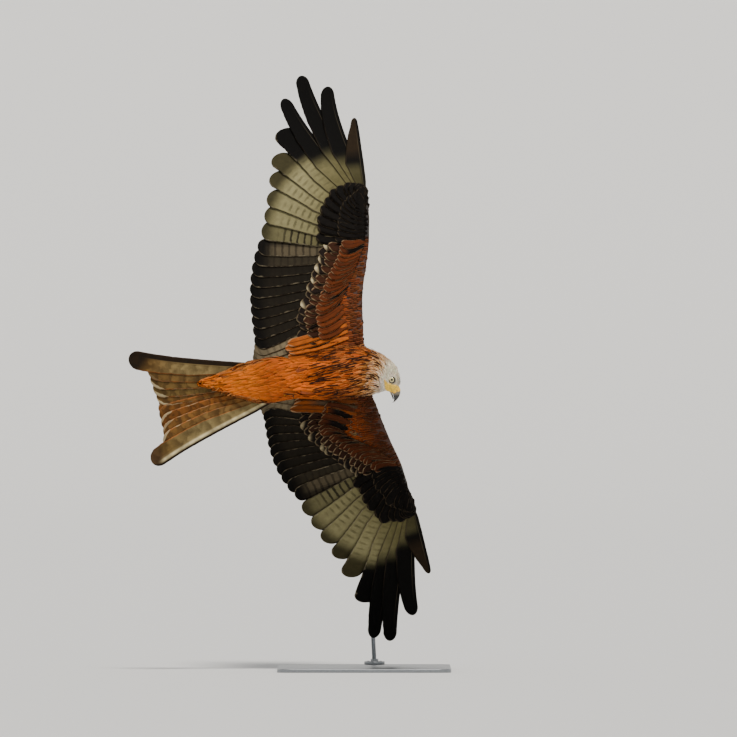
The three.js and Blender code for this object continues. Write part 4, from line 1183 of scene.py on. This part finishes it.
covertVane = {"slat": 4.0, "ragged": 0.025, "rise": 0.8, "round": 1.15}
alula = {
    "count": 3, "at": [9, 14], "step": [-2, -5], "long": 96, "shorter": 20, "turnDeg": 4, "fanDeg": 7,
    "vane": {"outer": 6, "inner": 12, "bow": 1, "slat": 3}, "rootHigh": 3, "tipHigh": 5, "rise": 1.4,
    "tint": "1a1410", "marks": [0.1, 0.2, 0],
}


def growAlula(wing):
    j = np.arange(alula["count"])
    root = np.array(wing["wrist"]) + alula["at"] + j[:, None] * alula["step"]
    turn, long = np.radians(alula["turnDeg"] - alula["fanDeg"] * j), alula["long"] - alula["shorter"] * j
    v = {"root": root, "tip": root + np.stack([np.sin(turn), np.cos(turn)], -1) * long[:, None],
         "rootHigh": alula["rootHigh"] + alula["rise"] * j,
         "tipHigh": alula["tipHigh"] + alula["rise"] * j, **alula["vane"]}
    sheaf = flatVanes(v, covertSteps, covertColumns, wingPlace(wing), "covert")
    return dyed(sheaf, (ink(alula["tint"]),) * 2, (np.array(alula["marks"]),) * 2)


def growCoverts(name):
    wing, sheaves = wings[name], []
    place, lines = wingPlace(wing), flightLines(wing)
    roots, tips = (np.array([line[k] for line in lines]) for k in (2, 3))
    for face, sign in (("Under", -1), ("Over", 1)):

        def surface(flat2):
            return sign * armHeight(wing, flat2)

        for row in tiers[face]:
            tier = {**plainTier, **dict(zip(tierKeys, row)), **row[-1]}
            low, high = tierParts[tier["part"]]
            count = tier["count"]
            out = (np.arange(count) + 0.5 + rng.uniform(-0.15, 0.15, count)) / count
            at = (low + (high - low) * out) * (len(lines) - 1)
            first = np.clip(np.floor(at).astype(int), 0, len(lines) - 2)
            t = (at - first)[:, None]
            root, tip = (blend(line[first], line[first + 1], t) for line in (roots, tips))
            way, reach = unit(tip - root), np.linalg.norm(tip - root, axis=1)
            # The roots stay well behind the front line of the arm
            room = armAt(wing, np.maximum(root[:, 1], 0))[0] - root[:, 0]
            start = root - way * np.minimum(-tier["start"], 0.4 * room)[:, None]
            # On the hand they shorten from the middle of the row to the outermost
            long = tier["end"] * np.interp(out, [0.5, 1], [1, tier["outermost"]])
            end = root + way * (np.minimum(long, 0.8 * reach) * vary(0.05, count))[:, None]
            level = sign * tier["high"]
            v = {"root": start, "tip": end, "outer": tier["outer"] * vary(0.1, count),
                 "inner": tier["inner"] * vary(0.1, count), "bow": tier["bow"], "rootHigh": level * 0.3,
                 "tipHigh": level * rng.uniform(1.1, 1.4, count), **covertVane}
            sheaf = flatVanes(v, covertSteps, covertColumns, place, "covert", surface)
            share = sheaf["share"][None, :, None, None]
            # Painted shade: under coverts of the darker wing, and their pale tips, are tinted darker
            shade = wing["paintedUnderShade"] if sign < 0 else 1
            tint = ink(tier["tint"]) * shade * np.exp(rng.normal(0, 0.15, count))[:, None, None, None]
            based = (rng.uniform(0, 1, count) < tier["baseShare"])[:, None, None, None]
            tint = blend(tint, ink(tier["base"]), based * (1 - ease(share, 0.55, 0.85)))
            if "tipTint" in tier:
                depth = rng.uniform(0.88, 1.02, count)[:, None, None, None]
                spot = ease(share, depth, depth + 0.06) * (1 - 0.75 * np.abs(sheaf["u"])[:, None])
                tint = blend(tint, ink(tier["tipTint"]) * shade, spot * 0.9)
            marks = together((1, 1, 1), tier["streak"], tier["edge"], 0)
            sheaves.append(dyed(sheaf, (tint, tint), (marks, marks)))
    sheaves.append(growAlula(wing))
    return vanesPiece("coverts" + name, sheaves, plumes["covert"])


lesser = {"rowStep": 8.0, "sideStep": 8.6, "long": 28, "wide": 6.6, "deeper": 0.8, "streak": 0.85}


# Roots and ways of the flight feathers, in order of their distance along the wing
def rootLine(wing):
    roots, tips = (np.array([line[k] for line in flightLines(wing)]) for k in (2, 3))
    order = np.argsort(roots[:, 1])
    return roots[order], unit(tips - roots)[order]


# Way the small coverts lie: along the nearest flight feather, more straight back in front
def wingWay(wing):
    roots, ways = rootLine(wing)
    start, slope = riseOf(wing)

    def lie(points):
        out = wingFlat(wing, points)[..., 1]
        both = np.stack([np.interp(out, roots[:, 1], ways[:, k]) for k in (0, 1)], -1)
        ahead, aside = np.moveaxis(unit(both * 0.62 + np.array([-0.38, 0.06])), -1, 0)
        angle = start + slope * np.maximum(0, out - bendFrom)
        return np.stack([ahead, wing["side"] * aside * np.cos(angle), aside * np.sin(angle)], -1)

    return lie


# Even places round the front of the arm: on each cross line from the underside, round the
# front edge, to the upper side
def armPlaces(wing):
    turn = np.linspace(-0.93 * np.pi, 0.93 * np.pi, 240)
    flats = []
    for k, out in enumerate(np.arange(60, wing["handTip"][1] + 11, lesser["sideStep"])):
        along, high = armRing(wing, np.full(turn.shape, out), turn)
        run = np.concatenate([[0], np.cumsum(np.hypot(np.diff(along), np.diff(high)))])
        at = np.arange((0.25 + 0.5 * (k % 2)) * lesser["rowStep"], run[-1], lesser["rowStep"])
        at = at + rng.uniform(-0.25, 0.25, len(at)) * lesser["rowStep"]
        outs = out + rng.uniform(-0.3, 0.3, len(at)) * lesser["sideStep"]
        flats.append(np.stack([np.interp(at, run, along), outs, np.interp(at, run, high)], -1))
    return wingPlace(wing)(np.concatenate(flats))


# Small coverts over the front of the arm and hand, round the edge too
def growLesser(name):
    wing, c = wings[name], wingInks
    roots = drawTo(openPlaces(armPlaces(wing), name, 3), 0)
    flat = wingFlat(wing, roots)
    fromFront = armAt(wing, flat[:, 1])[0] - flat[:, 0]
    hand = ease(flat[:, 1], wing["wrist"][1] - 14, wing["wrist"][1] + 4)
    line = rootLine(wing)[0]
    keep = flat[:, 0] > np.interp(flat[:, 1], line[:, 1], line[:, 0]) + blend(12, 2, hand)
    roots, flat, fromFront, hand = (values[keep] for values in (roots, flat, fromFront, hand))
    near, rear, count = 1 - ease(fromFront, 2, 34), ease(fromFront, 12, 48), len(roots)
    size = blend(1.0, 0.5, near) * blend(1.0, 0.85, hand)
    length = lesser["long"] * size * vary(0.12, count)
    wide = lesser["wide"] * size ** 0.7 * vary(0.12, count)
    overWing = flat[:, 2] > 0
    # Painted shade: the small coverts under the darker wing are tinted darker
    under = tone(tone(c["front"], c["rufous"], rear) * wing["paintedUnderShade"], c["black"], hand)
    top = tone(tone(c["upperFront"], c["upperRear"], rear), c["upper"], hand * 0.8)
    look = {"tint": np.where(overWing[:, None], top, under), "streak": np.full(count, lesser["streak"]),
            "edge": np.where(overWing, 0.25, blend(0.18, 0.03, hand))}
    lift = rng.uniform(0.4, 1.1, count) * blend(1, 0.5, near)
    point = np.clip(rng.normal(0.3, 0.1, count), 0, 1)
    depth = np.full(count, coatDepth["wing"] + lesser["deeper"])
    size = (length, wide, depth, lift, point, rng.normal(0, 0.05, count))
    return featherPiece("lesserCoverts" + name, roots, look, size, plumes["covert"], wingWay(wing))


for name in wings:
    pieces["flightFeathers" + name] = growFlight(name)
    pieces["coverts" + name] = growCoverts(name)
    pieces["lesserCoverts" + name] = growLesser(name)
print("scene: wings ready")

tail = {
    "pairs": 6, "outer": 13, "inner": 31, "middleInner": 20, "step": 1.2, "rootSpread": 4.7,
    "fanDeg": 3.27, "bow": 8, "rootAt": 4.0, "tintSpread": 0.1,
    "Right": [284, 287, 292, 296, 301, 345], "Left": [288, 289, 290, 292, 300, 342],
    "vane": {"slat": 0.0, "shaft": 0.5, "camber": 0.03, "ragged": 0.012},
}
tailCoverts = {
    "count": 6, "at": [12, -2], "step": [2.0, -4.6], "reach": 118, "turnDeg": 2, "fanDeg": 3.6,
    "rootHigh": [6, -0.4], "tipHigh": [3.4, -0.3], "tint": "9a5326", "marks": [0.3, 0.6, 0.15],
    "vane": {"outer": 12, "inner": 14, "bow": 1, "slat": 0, "round": 1.3},
}
tailColours = {
    "olive": "695830", "rufous": "8a4f1c", "edge": "100c08", "overTail": "a8602c", "pale": "93845a",
    "brown": "4a3622", "cream": "e6d6a4",
}


# Tints and marks of one tail feather: v runs to the tip, u across, k counts pairs outwards
def tailLook(side, k, v, u):
    c = {key: ink(value) for key, value in tailColours.items()}
    innerSide, outermost = ease(u, -0.15, 0.15), ease(k, 3.6, 5)
    warm = 0.3 + 0.35 * (side > 0) * (1 - outermost) + 0.2 * rng.uniform(-1, 1)
    under = blend(c["olive"], c["rufous"], warm) * (1 - 0.25 * ease(v, 0.8, 1)[..., None])
    under = tone(under, c["pale"], 0.6 * outermost * innerSide * (1 - ease(v, 0.6, 0.9)))
    tipShare = outermost * ease(v + 0.05 * (side < 0) * (1 - u), 0.86, 0.95)
    under = tone(under, c["edge"] if side < 0 else c["brown"], tipShare * 0.97)
    # The black outer edge is wider on the right
    outEdge = outermost * (1 - ease(u, *((-0.1, 0.12) if side < 0 else (-0.5, -0.3))))
    under = tone(under, c["edge"], outEdge * 0.97)
    if side > 0:
        line = outermost * ease(u, -0.62, -0.45) * (1 - ease(u, -0.1, 0.1)) * (1 - ease(v, 0.9, 0.97))
        under = tone(under, c["cream"], line * 0.85)
    overEdge = np.clip(outEdge + outermost * ease(v, 0.86, 0.97), 0, 1)
    over = tone(c["overTail"], c["edge"], overEdge * 0.95)
    bars = (0.5 - 0.25 * outermost) * ease(v, 0.2, 0.4) * blend(0.5, 1, innerSide)
    # Painted highlight: pale sunlit edges, on some feathers and mostly towards the tip
    edge = rng.uniform(0, 0.4) * (1 - outermost) * ease(v, 0.3, 0.9)
    marks = together(bars.shape, 0, edge, bars)
    return (over, under), (marks * [1, 1, 0.6], marks)


# Short feathers over the tail's root: a straight row, each turned a little more than the last
def growTailCoverts(place):
    k, size = np.arange(tailCoverts["count"]), tailCoverts
    root = np.array(size["at"]) + k[:, None] * size["step"]
    turn = np.radians(size["turnDeg"] + size["fanDeg"] * k)
    reach = size["reach"] * rng.uniform(0.85, 1.05, len(k))
    rootHigh, tipHigh = (size[key][0] + size[key][1] * k for key in ("rootHigh", "tipHigh"))
    v = {"root": root, "tip": root + np.stack([np.cos(turn), -np.sin(turn)], -1) * reach[:, None],
         "rootHigh": rootHigh, "tipHigh": tipHigh, **size["vane"]}
    sheaf = flatVanes(v, covertSteps, fineColumns, place, "covert")
    tint = ink(size["tint"]) * np.exp(rng.normal(0, 0.1, len(k)))[:, None, None, None]
    return dyed(sheaf, (tint, tint), (np.array(size["marks"]),) * 2)


def growTail():
    sheaves = []
    for name, side in bothSides:

        def place(flat):
            return fromPart(flat * [1, side, 1], tailAxes)

        for k in range(tail["pairs"]):
            across, long = -(k + 0.5) * tail["rootSpread"], tail[name][k]
            turn = math.radians((k + 0.5) * tail["fanDeg"])
            level = -tail["step"] * (-1 if k == 0 and side < 0 else k)
            tip = [long * math.cos(turn), across - long * math.sin(turn)]
            v = {"root": np.array([[tail["rootAt"], across]]), "tip": np.array([tip]),
                 "rootHigh": level, "tipHigh": level, "bow": tail["bow"] * k / tail["pairs"],
                 "outer": tail["outer"], "inner": tail["inner" if k else "middleInner"], **tail["vane"]}

            def look(v, u):
                return tailLook(side, k, v, u)

            sheaves.append(loneVane(v, place, "tail", look, tail["tintSpread"]))
        sheaves.append(growTailCoverts(place))
    number = sum(len(sheaf["over"]) for sheaf in sheaves)
    return vanesPiece("tailFeathers", sheaves, plumes["tail"], cellPatches(number, 6))


pieces["tailFeathers"] = growTail()
print("scene: tail ready")

bill = {
    # Along the bill, half width, top, bottom
    "upper": [
        [17, 7.4, 9.4, -7.6], [22, 7.6, 10.4, -8], [27, 7.3, 10.5, -8.4], [31, 6.8, 9.6, -8.6],
        [36, 5.9, 7.5, -9.2], [41, 4.9, 3.4, -10], [45.5, 3.7, -2.2, -11.8],
        [48.6, 2.6, -8.4, -14.6], [50, 1.7, -14, -18], [50.3, 0.8, -18.6, -20.4],
    ],
    "lower": [
        [12, 6.6, -9.2, -14.6], [22, 6.4, -9, -14.4], [31, 5.4, -9.4, -13.8],
        [38, 4.2, -10, -13.4], [43, 2.6, -11.4, -13.8],
    ],
    "nostril": {"forward": 28, "up": 2.2, "long": 2.5, "high": 1.2, "deep": 2.0}, "cereEnd": 31,
    "swell": 0.35, "roundDown": 0.5, "hornFrom": 32, "hornTo": 39,
    "cere": "f0bd36", "side": "6f6656", "tip": "0e0c0b", "hole": "140d07",
}


# A closed loft whose rings are read off by their number, so steep ends stay even
def numberedShell(rings, steps, sides, bulge):
    table = [[i, *ring] for i, ring in enumerate(rings)]
    along, wide, top, bottom = columnsAt(np.linspace(0, len(rings) - 1, steps)[:, None], table)
    return ringPoints(along, 0, wide, top, bottom, turns(sides), bulge)


# Nostrils are dents that fade off as exp(-r^2)
def growBill():
    upper = numberedShell(bill["upper"], 120, 64, 2.15)
    hole, f, u = bill["nostril"], upper[..., 0], upper[..., 2]
    ahead = f - hole["forward"]
    a, b = ahead / hole["long"], (u - hole["up"] + 0.35 * ahead) / hole["high"]
    dent = np.exp(-(a * a + b * b))
    c = {key: ink(bill[key]) for key in ("side", "tip", "cere", "hole")}
    horn = tone(c["side"], c["tip"], ease(f - 0.35 * (u + 4), bill["hornFrom"], bill["hornTo"]))
    # The cere swells a little over the horn and rounds down onto it at its front edge
    last = int(np.searchsorted(f[:, 0], bill["cereEnd"] + 0.6))
    cere = upper[:last].copy()
    cere[..., 1] -= np.sign(cere[..., 1]) * dent[:last] * hole["deep"]
    end = ease(f[:last], bill["cereEnd"] - 0.9, bill["cereEnd"] + 0.5)
    swell = bill["swell"] * ease(f[:last], 18, 24) - bill["roundDown"] * end
    level = (cere[..., 2].max(1) + cere[..., 2].min(1))[:, None] / 2
    cere = cere + unit(cere - together(cere.shape[:2], cere[..., 0], 0, level)) * swell[..., None]
    # Painted shade: the cere is darkened where the nostril dents are deepest
    yellow = tone(c["cere"], c["hole"], ease(dent[:last], 0.3, 0.8))
    first = int(np.searchsorted(f[:, 0], bill["cereEnd"] - 1.5))
    lower = numberedShell(bill["lower"], 50, 48, 2.2)
    lowerTint = tone(c["side"], c["tip"], ease(lower[..., 0], 30, 36))
    lowerTint = tone(c["cere"], lowerTint, ease(lower[..., 0], 24, 28))
    return {
        "cere": shellPiece("cere", [cere], [yellow], finishes["yellow"]),
        "billUpper": shellPiece("billUpper", [upper[first:]], [horn[first:]], finishes["horn"]),
        "billLower": shellPiece("billLower", [lower], [lowerTint], finishes["horn"]),
    }


pieces.update(growBill())


# Eyeball with a bulging cornea; iris and pupil are rings round the axis out of the head
def growEyes():
    made = {}
    c = {key: ink(eye[key]) for key in ("irisDark", "irisLight", "rim", "black", "white")}
    for name, side in bothSides:
        grid = ballShell([0, 0, 0], [1, 1, 1], (np.zeros(3), np.eye(3)), 48, 64)
        axis, across, up = np.moveaxis(grid, -1, 0)
        turn = np.degrees(np.arccos(np.clip(axis, -1, 1)))
        size = eye["ball"] * (1 + eye["cornea"] * np.exp(-(turn / eye["corneaDeg"]) ** 2))
        grid = np.stack([across, side * axis, up], -1) * size[..., None] + [0, side * eye["side"], 0]
        reach = eye["ball"] * np.sin(np.radians(np.clip(turn, 0, 90)))
        ray = np.arctan2(up, across)
        threads = 0.5 + 0.5 * np.sin(ray * 31 + 2 * np.sin(ray * 7))
        tint = tone(c["irisDark"], c["irisLight"], threads * ease(reach, 2.6, 5))
        tint = tone(tint, c["rim"], ease(reach, eye["iris"] - 1.1, eye["iris"]))
        tint = tone(c["black"], tint, ease(reach, eye["pupil"] - 0.2, eye["pupil"] + 0.2))
        tint = np.where((turn > 80)[..., None], c["white"], tint)
        made["eye" + name] = shellPiece("eye" + name, [grid], [tint], finishes["eye"])
    return made


# A round tube along a path, given its radius at each step
def tube(path, radii, sides):
    way = unit(np.gradient(path, axis=0))
    across = unit(np.cross([0.13, 0.2, 0.97], way))
    up = np.cross(way, across)
    turn = turns(sides)[..., None]
    ring = across[:, None] * np.cos(turn) + up[:, None] * np.sin(turn)
    return path[:, None] + radii[:, None, None] * ring


# Lids follow the ball: further in where they are further from its axis
def growLids():
    turn = np.linspace(0, 2 * np.pi, 65)
    f = 0.2 + eye["lidWide"] * np.cos(turn)
    u = eye["lidHigh"] * np.sin(turn) * (1 - 0.08 * np.cos(turn))
    radii = eye["lidTube"] * (1 + 0.22 * np.sin(turn) + 0.14 * np.cos(turn))
    y = eye["lidSide"] + eye["lidBow"] * (eye["lidWide"] ** 2 - f ** 2)
    shells = [tube(np.stack([f, side * y, u], -1), radii, 16) for side in (-1, 1)]
    return shellPiece("lids", shells, [ink(eye["lid"])] * 2, finishes["lids"])


pieces.update(growEyes())
pieces["lids"] = growLids()
gape = {
    "from": 5, "to": 28, "level": -8.7, "rise": 0.012, "curve": 1.4, "billFrom": 22, "billWide": 7.6,
    "radius": 1.15, "sink": 2.3, "fold": "e8a92a", "line": "3a1d10",
    # Two folds with the line of the mouth between: shift up, way out, thickness
    "tubes": [("fold", 0.95, 0, 1), ("fold", -0.95, 0, 1), ("line", 0, 0.25, 0.55)],
}


# Mouth corner: a yellow fold on each cheek from the bill back under the eye
def growGape():
    shells, tints = [], []
    f = np.linspace(gape["from"], gape["to"], 30)
    _, wide, top, bottom = columnsAt(f, lofts["head"]["rings"])
    level = gape["level"] + gape["rise"] * (gape["to"] - f) ** gape["curve"]
    up = np.clip((level - (top + bottom) / 2) / ((top - bottom) / 2), -0.95, 0.95)
    bulge = lofts["head"]["bulge"]
    y = wide * (1 - np.abs(up) ** bulge) ** (1 / bulge) - gape["sink"]
    y = np.where(f > gape["billFrom"], np.minimum(y, gape["billWide"]), y)
    share = (f - gape["from"]) / (gape["to"] - gape["from"])
    radii = gape["radius"] * np.sin(np.pi * np.clip(share * 0.9 + 0.08, 0, 1)) ** 0.5
    for side in (-1, 1):
        for colour, shift, out, size in gape["tubes"]:
            shells.append(tube(np.stack([f, side * (y + out), level + shift], -1), radii * size, 14))
            tints.append(ink(gape[colour]))
    return shellPiece("gape", shells, tints, finishes["yellow"])


pieces["gape"] = growGape()
print("scene: head ready")

feet = {
    "from": [-80, 26, -50], "to": [-124, 20, -39], "radius": 4.2, "palm": 5.6,
    # Turn, length, radius and drop of each toe
    "toes": [[-24, 25, 2.9, -6], [0, 31, 3.1, -7], [24, 24, 2.9, -6], [98, 9, 3.1, 2]],
    "clawLong": 13, "clawRadius": 2.1, "colour": "d9a21f", "claw": "171412",
}


def growFeet():
    shells, claws = [], []
    for side in (-1, 1):
        start, end = (np.array(feet[key], float) * [1, side, 1] for key in ("from", "to"))
        share = np.linspace(0, 1, 60)
        rings = 1 + 0.05 * np.abs(np.sin(share * np.pi * 11))
        shells.append(tube(start + share[:, None] * (end - start), feet["radius"] * 0.94 * rings, 20))
        palm = end - [3, 0, 0]
        shells.append(ballShell(palm, [feet["palm"]] * 3))
        for turnDeg, long, radius, drop in feet["toes"]:
            turn = math.radians(turnDeg)
            share = np.linspace(0, 1, 46)
            ahead, aside = -math.cos(turn) * long, side * math.sin(turn) * long
            line = together(share.shape, ahead * share, aside * share, -drop * share ** 2)
            scutes = 1 + 0.07 * np.abs(np.sin(share * np.pi * max(4, long / 3)))
            shells.append(tube(palm + line, radius * (1.02 - 0.2 * share) * scutes, 18))
            way = unit(line[-1] - line[-5])
            s = np.linspace(-0.12, 1, 24)
            path = palm + line[-1] + way * (feet["clawLong"] * s * (1 - 0.25 * s))[:, None]
            path[:, 2] -= feet["clawLong"] * 0.6 * np.maximum(0, s) ** 2
            claws.append(tube(path, feet["clawRadius"] * np.clip(1 - s, 0.03, 1) ** 0.65, 16))
    skinTint, clawTint = [ink(feet["colour"])] * len(shells), [ink(feet["claw"])] * len(claws)
    return {
        "feet": shellPiece("feet", shells, skinTint, finishes["yellow"], birdAxes),
        "claws": shellPiece("claws", claws, clawTint, finishes["horn"], birdAxes),
    }


pieces.update(growFeet())

# The stand is drawn in the frame's own millimetres
stand = {
    "wide": 400, "deep": 540, "thick": 8, "corner": 30, "edge": 1.2, "foot": [24, 232, 8.3],
    "pull": [-6, 60, 618], "top": [-36, -159, 690], "radius": 5, "flangeRadius": 24, "flangeHigh": 7,
    "screws": 3, "screwAt": 16.5, "screwRadius": 3.1, "colour": "8b8f93",
    # Low and high end and rounded edge, over the foot and over the flange
    "collarOut": 4, "collar": [4, 13, 1.6], "flangeEdge": 1.4, "screw": [-2, 1.1, 0.8],
}
standAxes = (unput(np.zeros(3)), poseMatrix)


# Rings of one outline from low to high, drawn in along a quarter circle at both edges
def stacked(outline, low, high, edge):
    a = np.linspace(0, np.pi / 2, 5)
    inset = edge - edge * np.concatenate([np.sin(a), np.cos(a)])
    level = np.concatenate([low + edge - edge * np.cos(a), high - edge + edge * np.sin(a)])
    flats = np.stack([outline(each) for each in inset])
    return np.concatenate([flats, together(flats.shape[:2], level[:, None])], 2)


def onCircle(turn):
    return np.stack([np.cos(turn), np.sin(turn)], -1)


def plateOutline(inset):
    corner = stand["corner"] - inset
    x, y = stand["wide"] / 2 - stand["corner"], stand["deep"] / 2 - stand["corner"]
    turn = np.linspace(0, np.pi / 2, 13)
    return np.concatenate([
        middle + corner * onCircle(turn + k * np.pi / 2)
        for k, middle in enumerate(((x, y), (-x, y), (-x, -y), (x, -y)))
    ])


def circle(middle, radius, count=64):
    return lambda inset: middle + (radius - inset) * onCircle(turns(count)[0])


def growStand():
    foot, pull, top = (np.array(stand[k], float) for k in ("foot", "pull", "top"))
    t = np.linspace(0, 1, 90)[:, None]
    path = (1 - t) ** 2 * foot + 2 * t * (1 - t) * pull + t * t * top
    low, high = foot[2], foot[2] + stand["flangeHigh"]
    under, over, edge = stand["collar"]
    shells = [
        tube(path, np.full(len(t), stand["radius"]), 36),
        stacked(circle(foot[:2], stand["flangeRadius"]), low, high, stand["flangeEdge"]),
        stacked(circle(foot[:2], stand["radius"] + stand["collarOut"]), low + under, low + over, edge),
    ]
    under, over, edge = stand["screw"]
    for k in range(stand["screws"]):
        at = foot[:2] + stand["screwAt"] * onCircle(2 * math.pi * (k + 0.25) / stand["screws"])
        shells.append(stacked(circle(at, stand["screwRadius"], 28), high + under, high + over, edge))
    plate = stacked(plateOutline, 0, stand["thick"], stand["edge"])
    grey = ink(stand["colour"])
    return {
        "standPlate": shellPiece("standPlate", [plate], [grey], finishes["steel"], standAxes),
        "standRod": shellPiece("standRod", shells, [grey] * len(shells), finishes["steel"], standAxes),
    }


pieces.update(growStand())
print("scene: stand ready")

replaced = {
    "skinCoat": ["torso", "neck", "head", "leg_right", "leg_left"],
    "flightFeathersRight": ["wing_right"], "flightFeathersLeft": ["wing_left"], "tailFeathers": ["tail"],
    "cere": ["cere"], "billUpper": ["bill_upper"], "billLower": ["bill_lower"],
    "eyeRight": ["eye_right"], "eyeLeft": ["eye_left"],
    "feet": ["foot_right", "foot_left"], "standPlate": ["stand_base"], "standRod": ["stand_rod"],
    "claws": [f"claw_{side}_{k}" for side in ("right", "left") for k in (1, 2, 3, 4)],
}
counts = {}
for name, piece in pieces.items():
    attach(piece, "root")
    if name in replaced:
        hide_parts(*replaced[name])
    counts[name] = len(piece.data.loops) - 2 * len(piece.data.polygons)
print("scene:", len(pieces), "pieces,", sum(counts.values()), "triangles:", counts)

room = {"flat": 45, "rim": 120, "high": 60, "sides": 96, "colour": "dcdcda"}


# A wide flat disc whose rim rises far off as a backdrop: height is high * share^2
def growFloor():
    flat, rim, sides = room["flat"], room["rim"], room["sides"]
    radius = np.concatenate([[0.02, 1, 4, 12, 25, flat], np.linspace(flat + 5, rim, 16)])[:, None]
    high = room["high"] * np.clip((radius - flat) / (rim - flat), 0, 1) ** 2
    turn = turns(sides)
    grid = together((len(radius), sides), radius * np.cos(turn), radius * np.sin(turn), high) * 1000
    loops, counts = ringFaces(len(radius), sides)
    paint = Paint("floor")
    material = paint.finish({"Base Color": (*ink(room["colour"]), 1), "Roughness": 0.9})
    points = fromPart(grid.reshape(-1, 3), standAxes)
    meshFrom("floor", points, loops[:-sides][::-1], counts[:-1][::-1], material)


growFloor()

light = {
    "sun": 3.7, "sunAngleDeg": 12, "sunFrom": [0.1, -0.6, 1.0], "sunColour": (1.0, 0.96, 0.9),
    "fill": 0.44, "fillColour": (0.95, 0.96, 1.0),
}
lamp = bpy.data.lights.new("key", "SUN")
lamp.energy, lamp.color = light["sun"], light["sunColour"]
lamp.angle = math.radians(light["sunAngleDeg"])
key = bpy.data.objects.new("key", lamp)
key.rotation_euler = Vector(light["sunFrom"]).to_track_quat("Z", "Y").to_euler()
bpy.context.scene.collection.objects.link(key)
world = bpy.data.worlds.new("room")
world.use_nodes = True
world.node_tree.nodes["Background"].inputs["Color"].default_value = (*light["fillColour"], 1)
world.node_tree.nodes["Background"].inputs["Strength"].default_value = light["fill"]
bpy.context.scene.world = world

# The photograph's view: level, from far off, as wide as the frame it shows
view = {"distance": 30.0, "x": 0.010, "z": 0.698, "wide": 1.695, "sensor": 36}
lens = bpy.data.cameras.new("camera")
lens.sensor_width, lens.clip_end = view["sensor"], 400
lens.lens = view["sensor"] * view["distance"] / view["wide"]
camera = bpy.data.objects.new("camera", lens)
camera.location = (view["x"], pose["place"][1] / 1000 - view["distance"], view["z"])
camera.rotation_euler = (math.pi / 2, 0, 0)
bpy.context.scene.collection.objects.link(camera)
bpy.context.scene.camera = camera
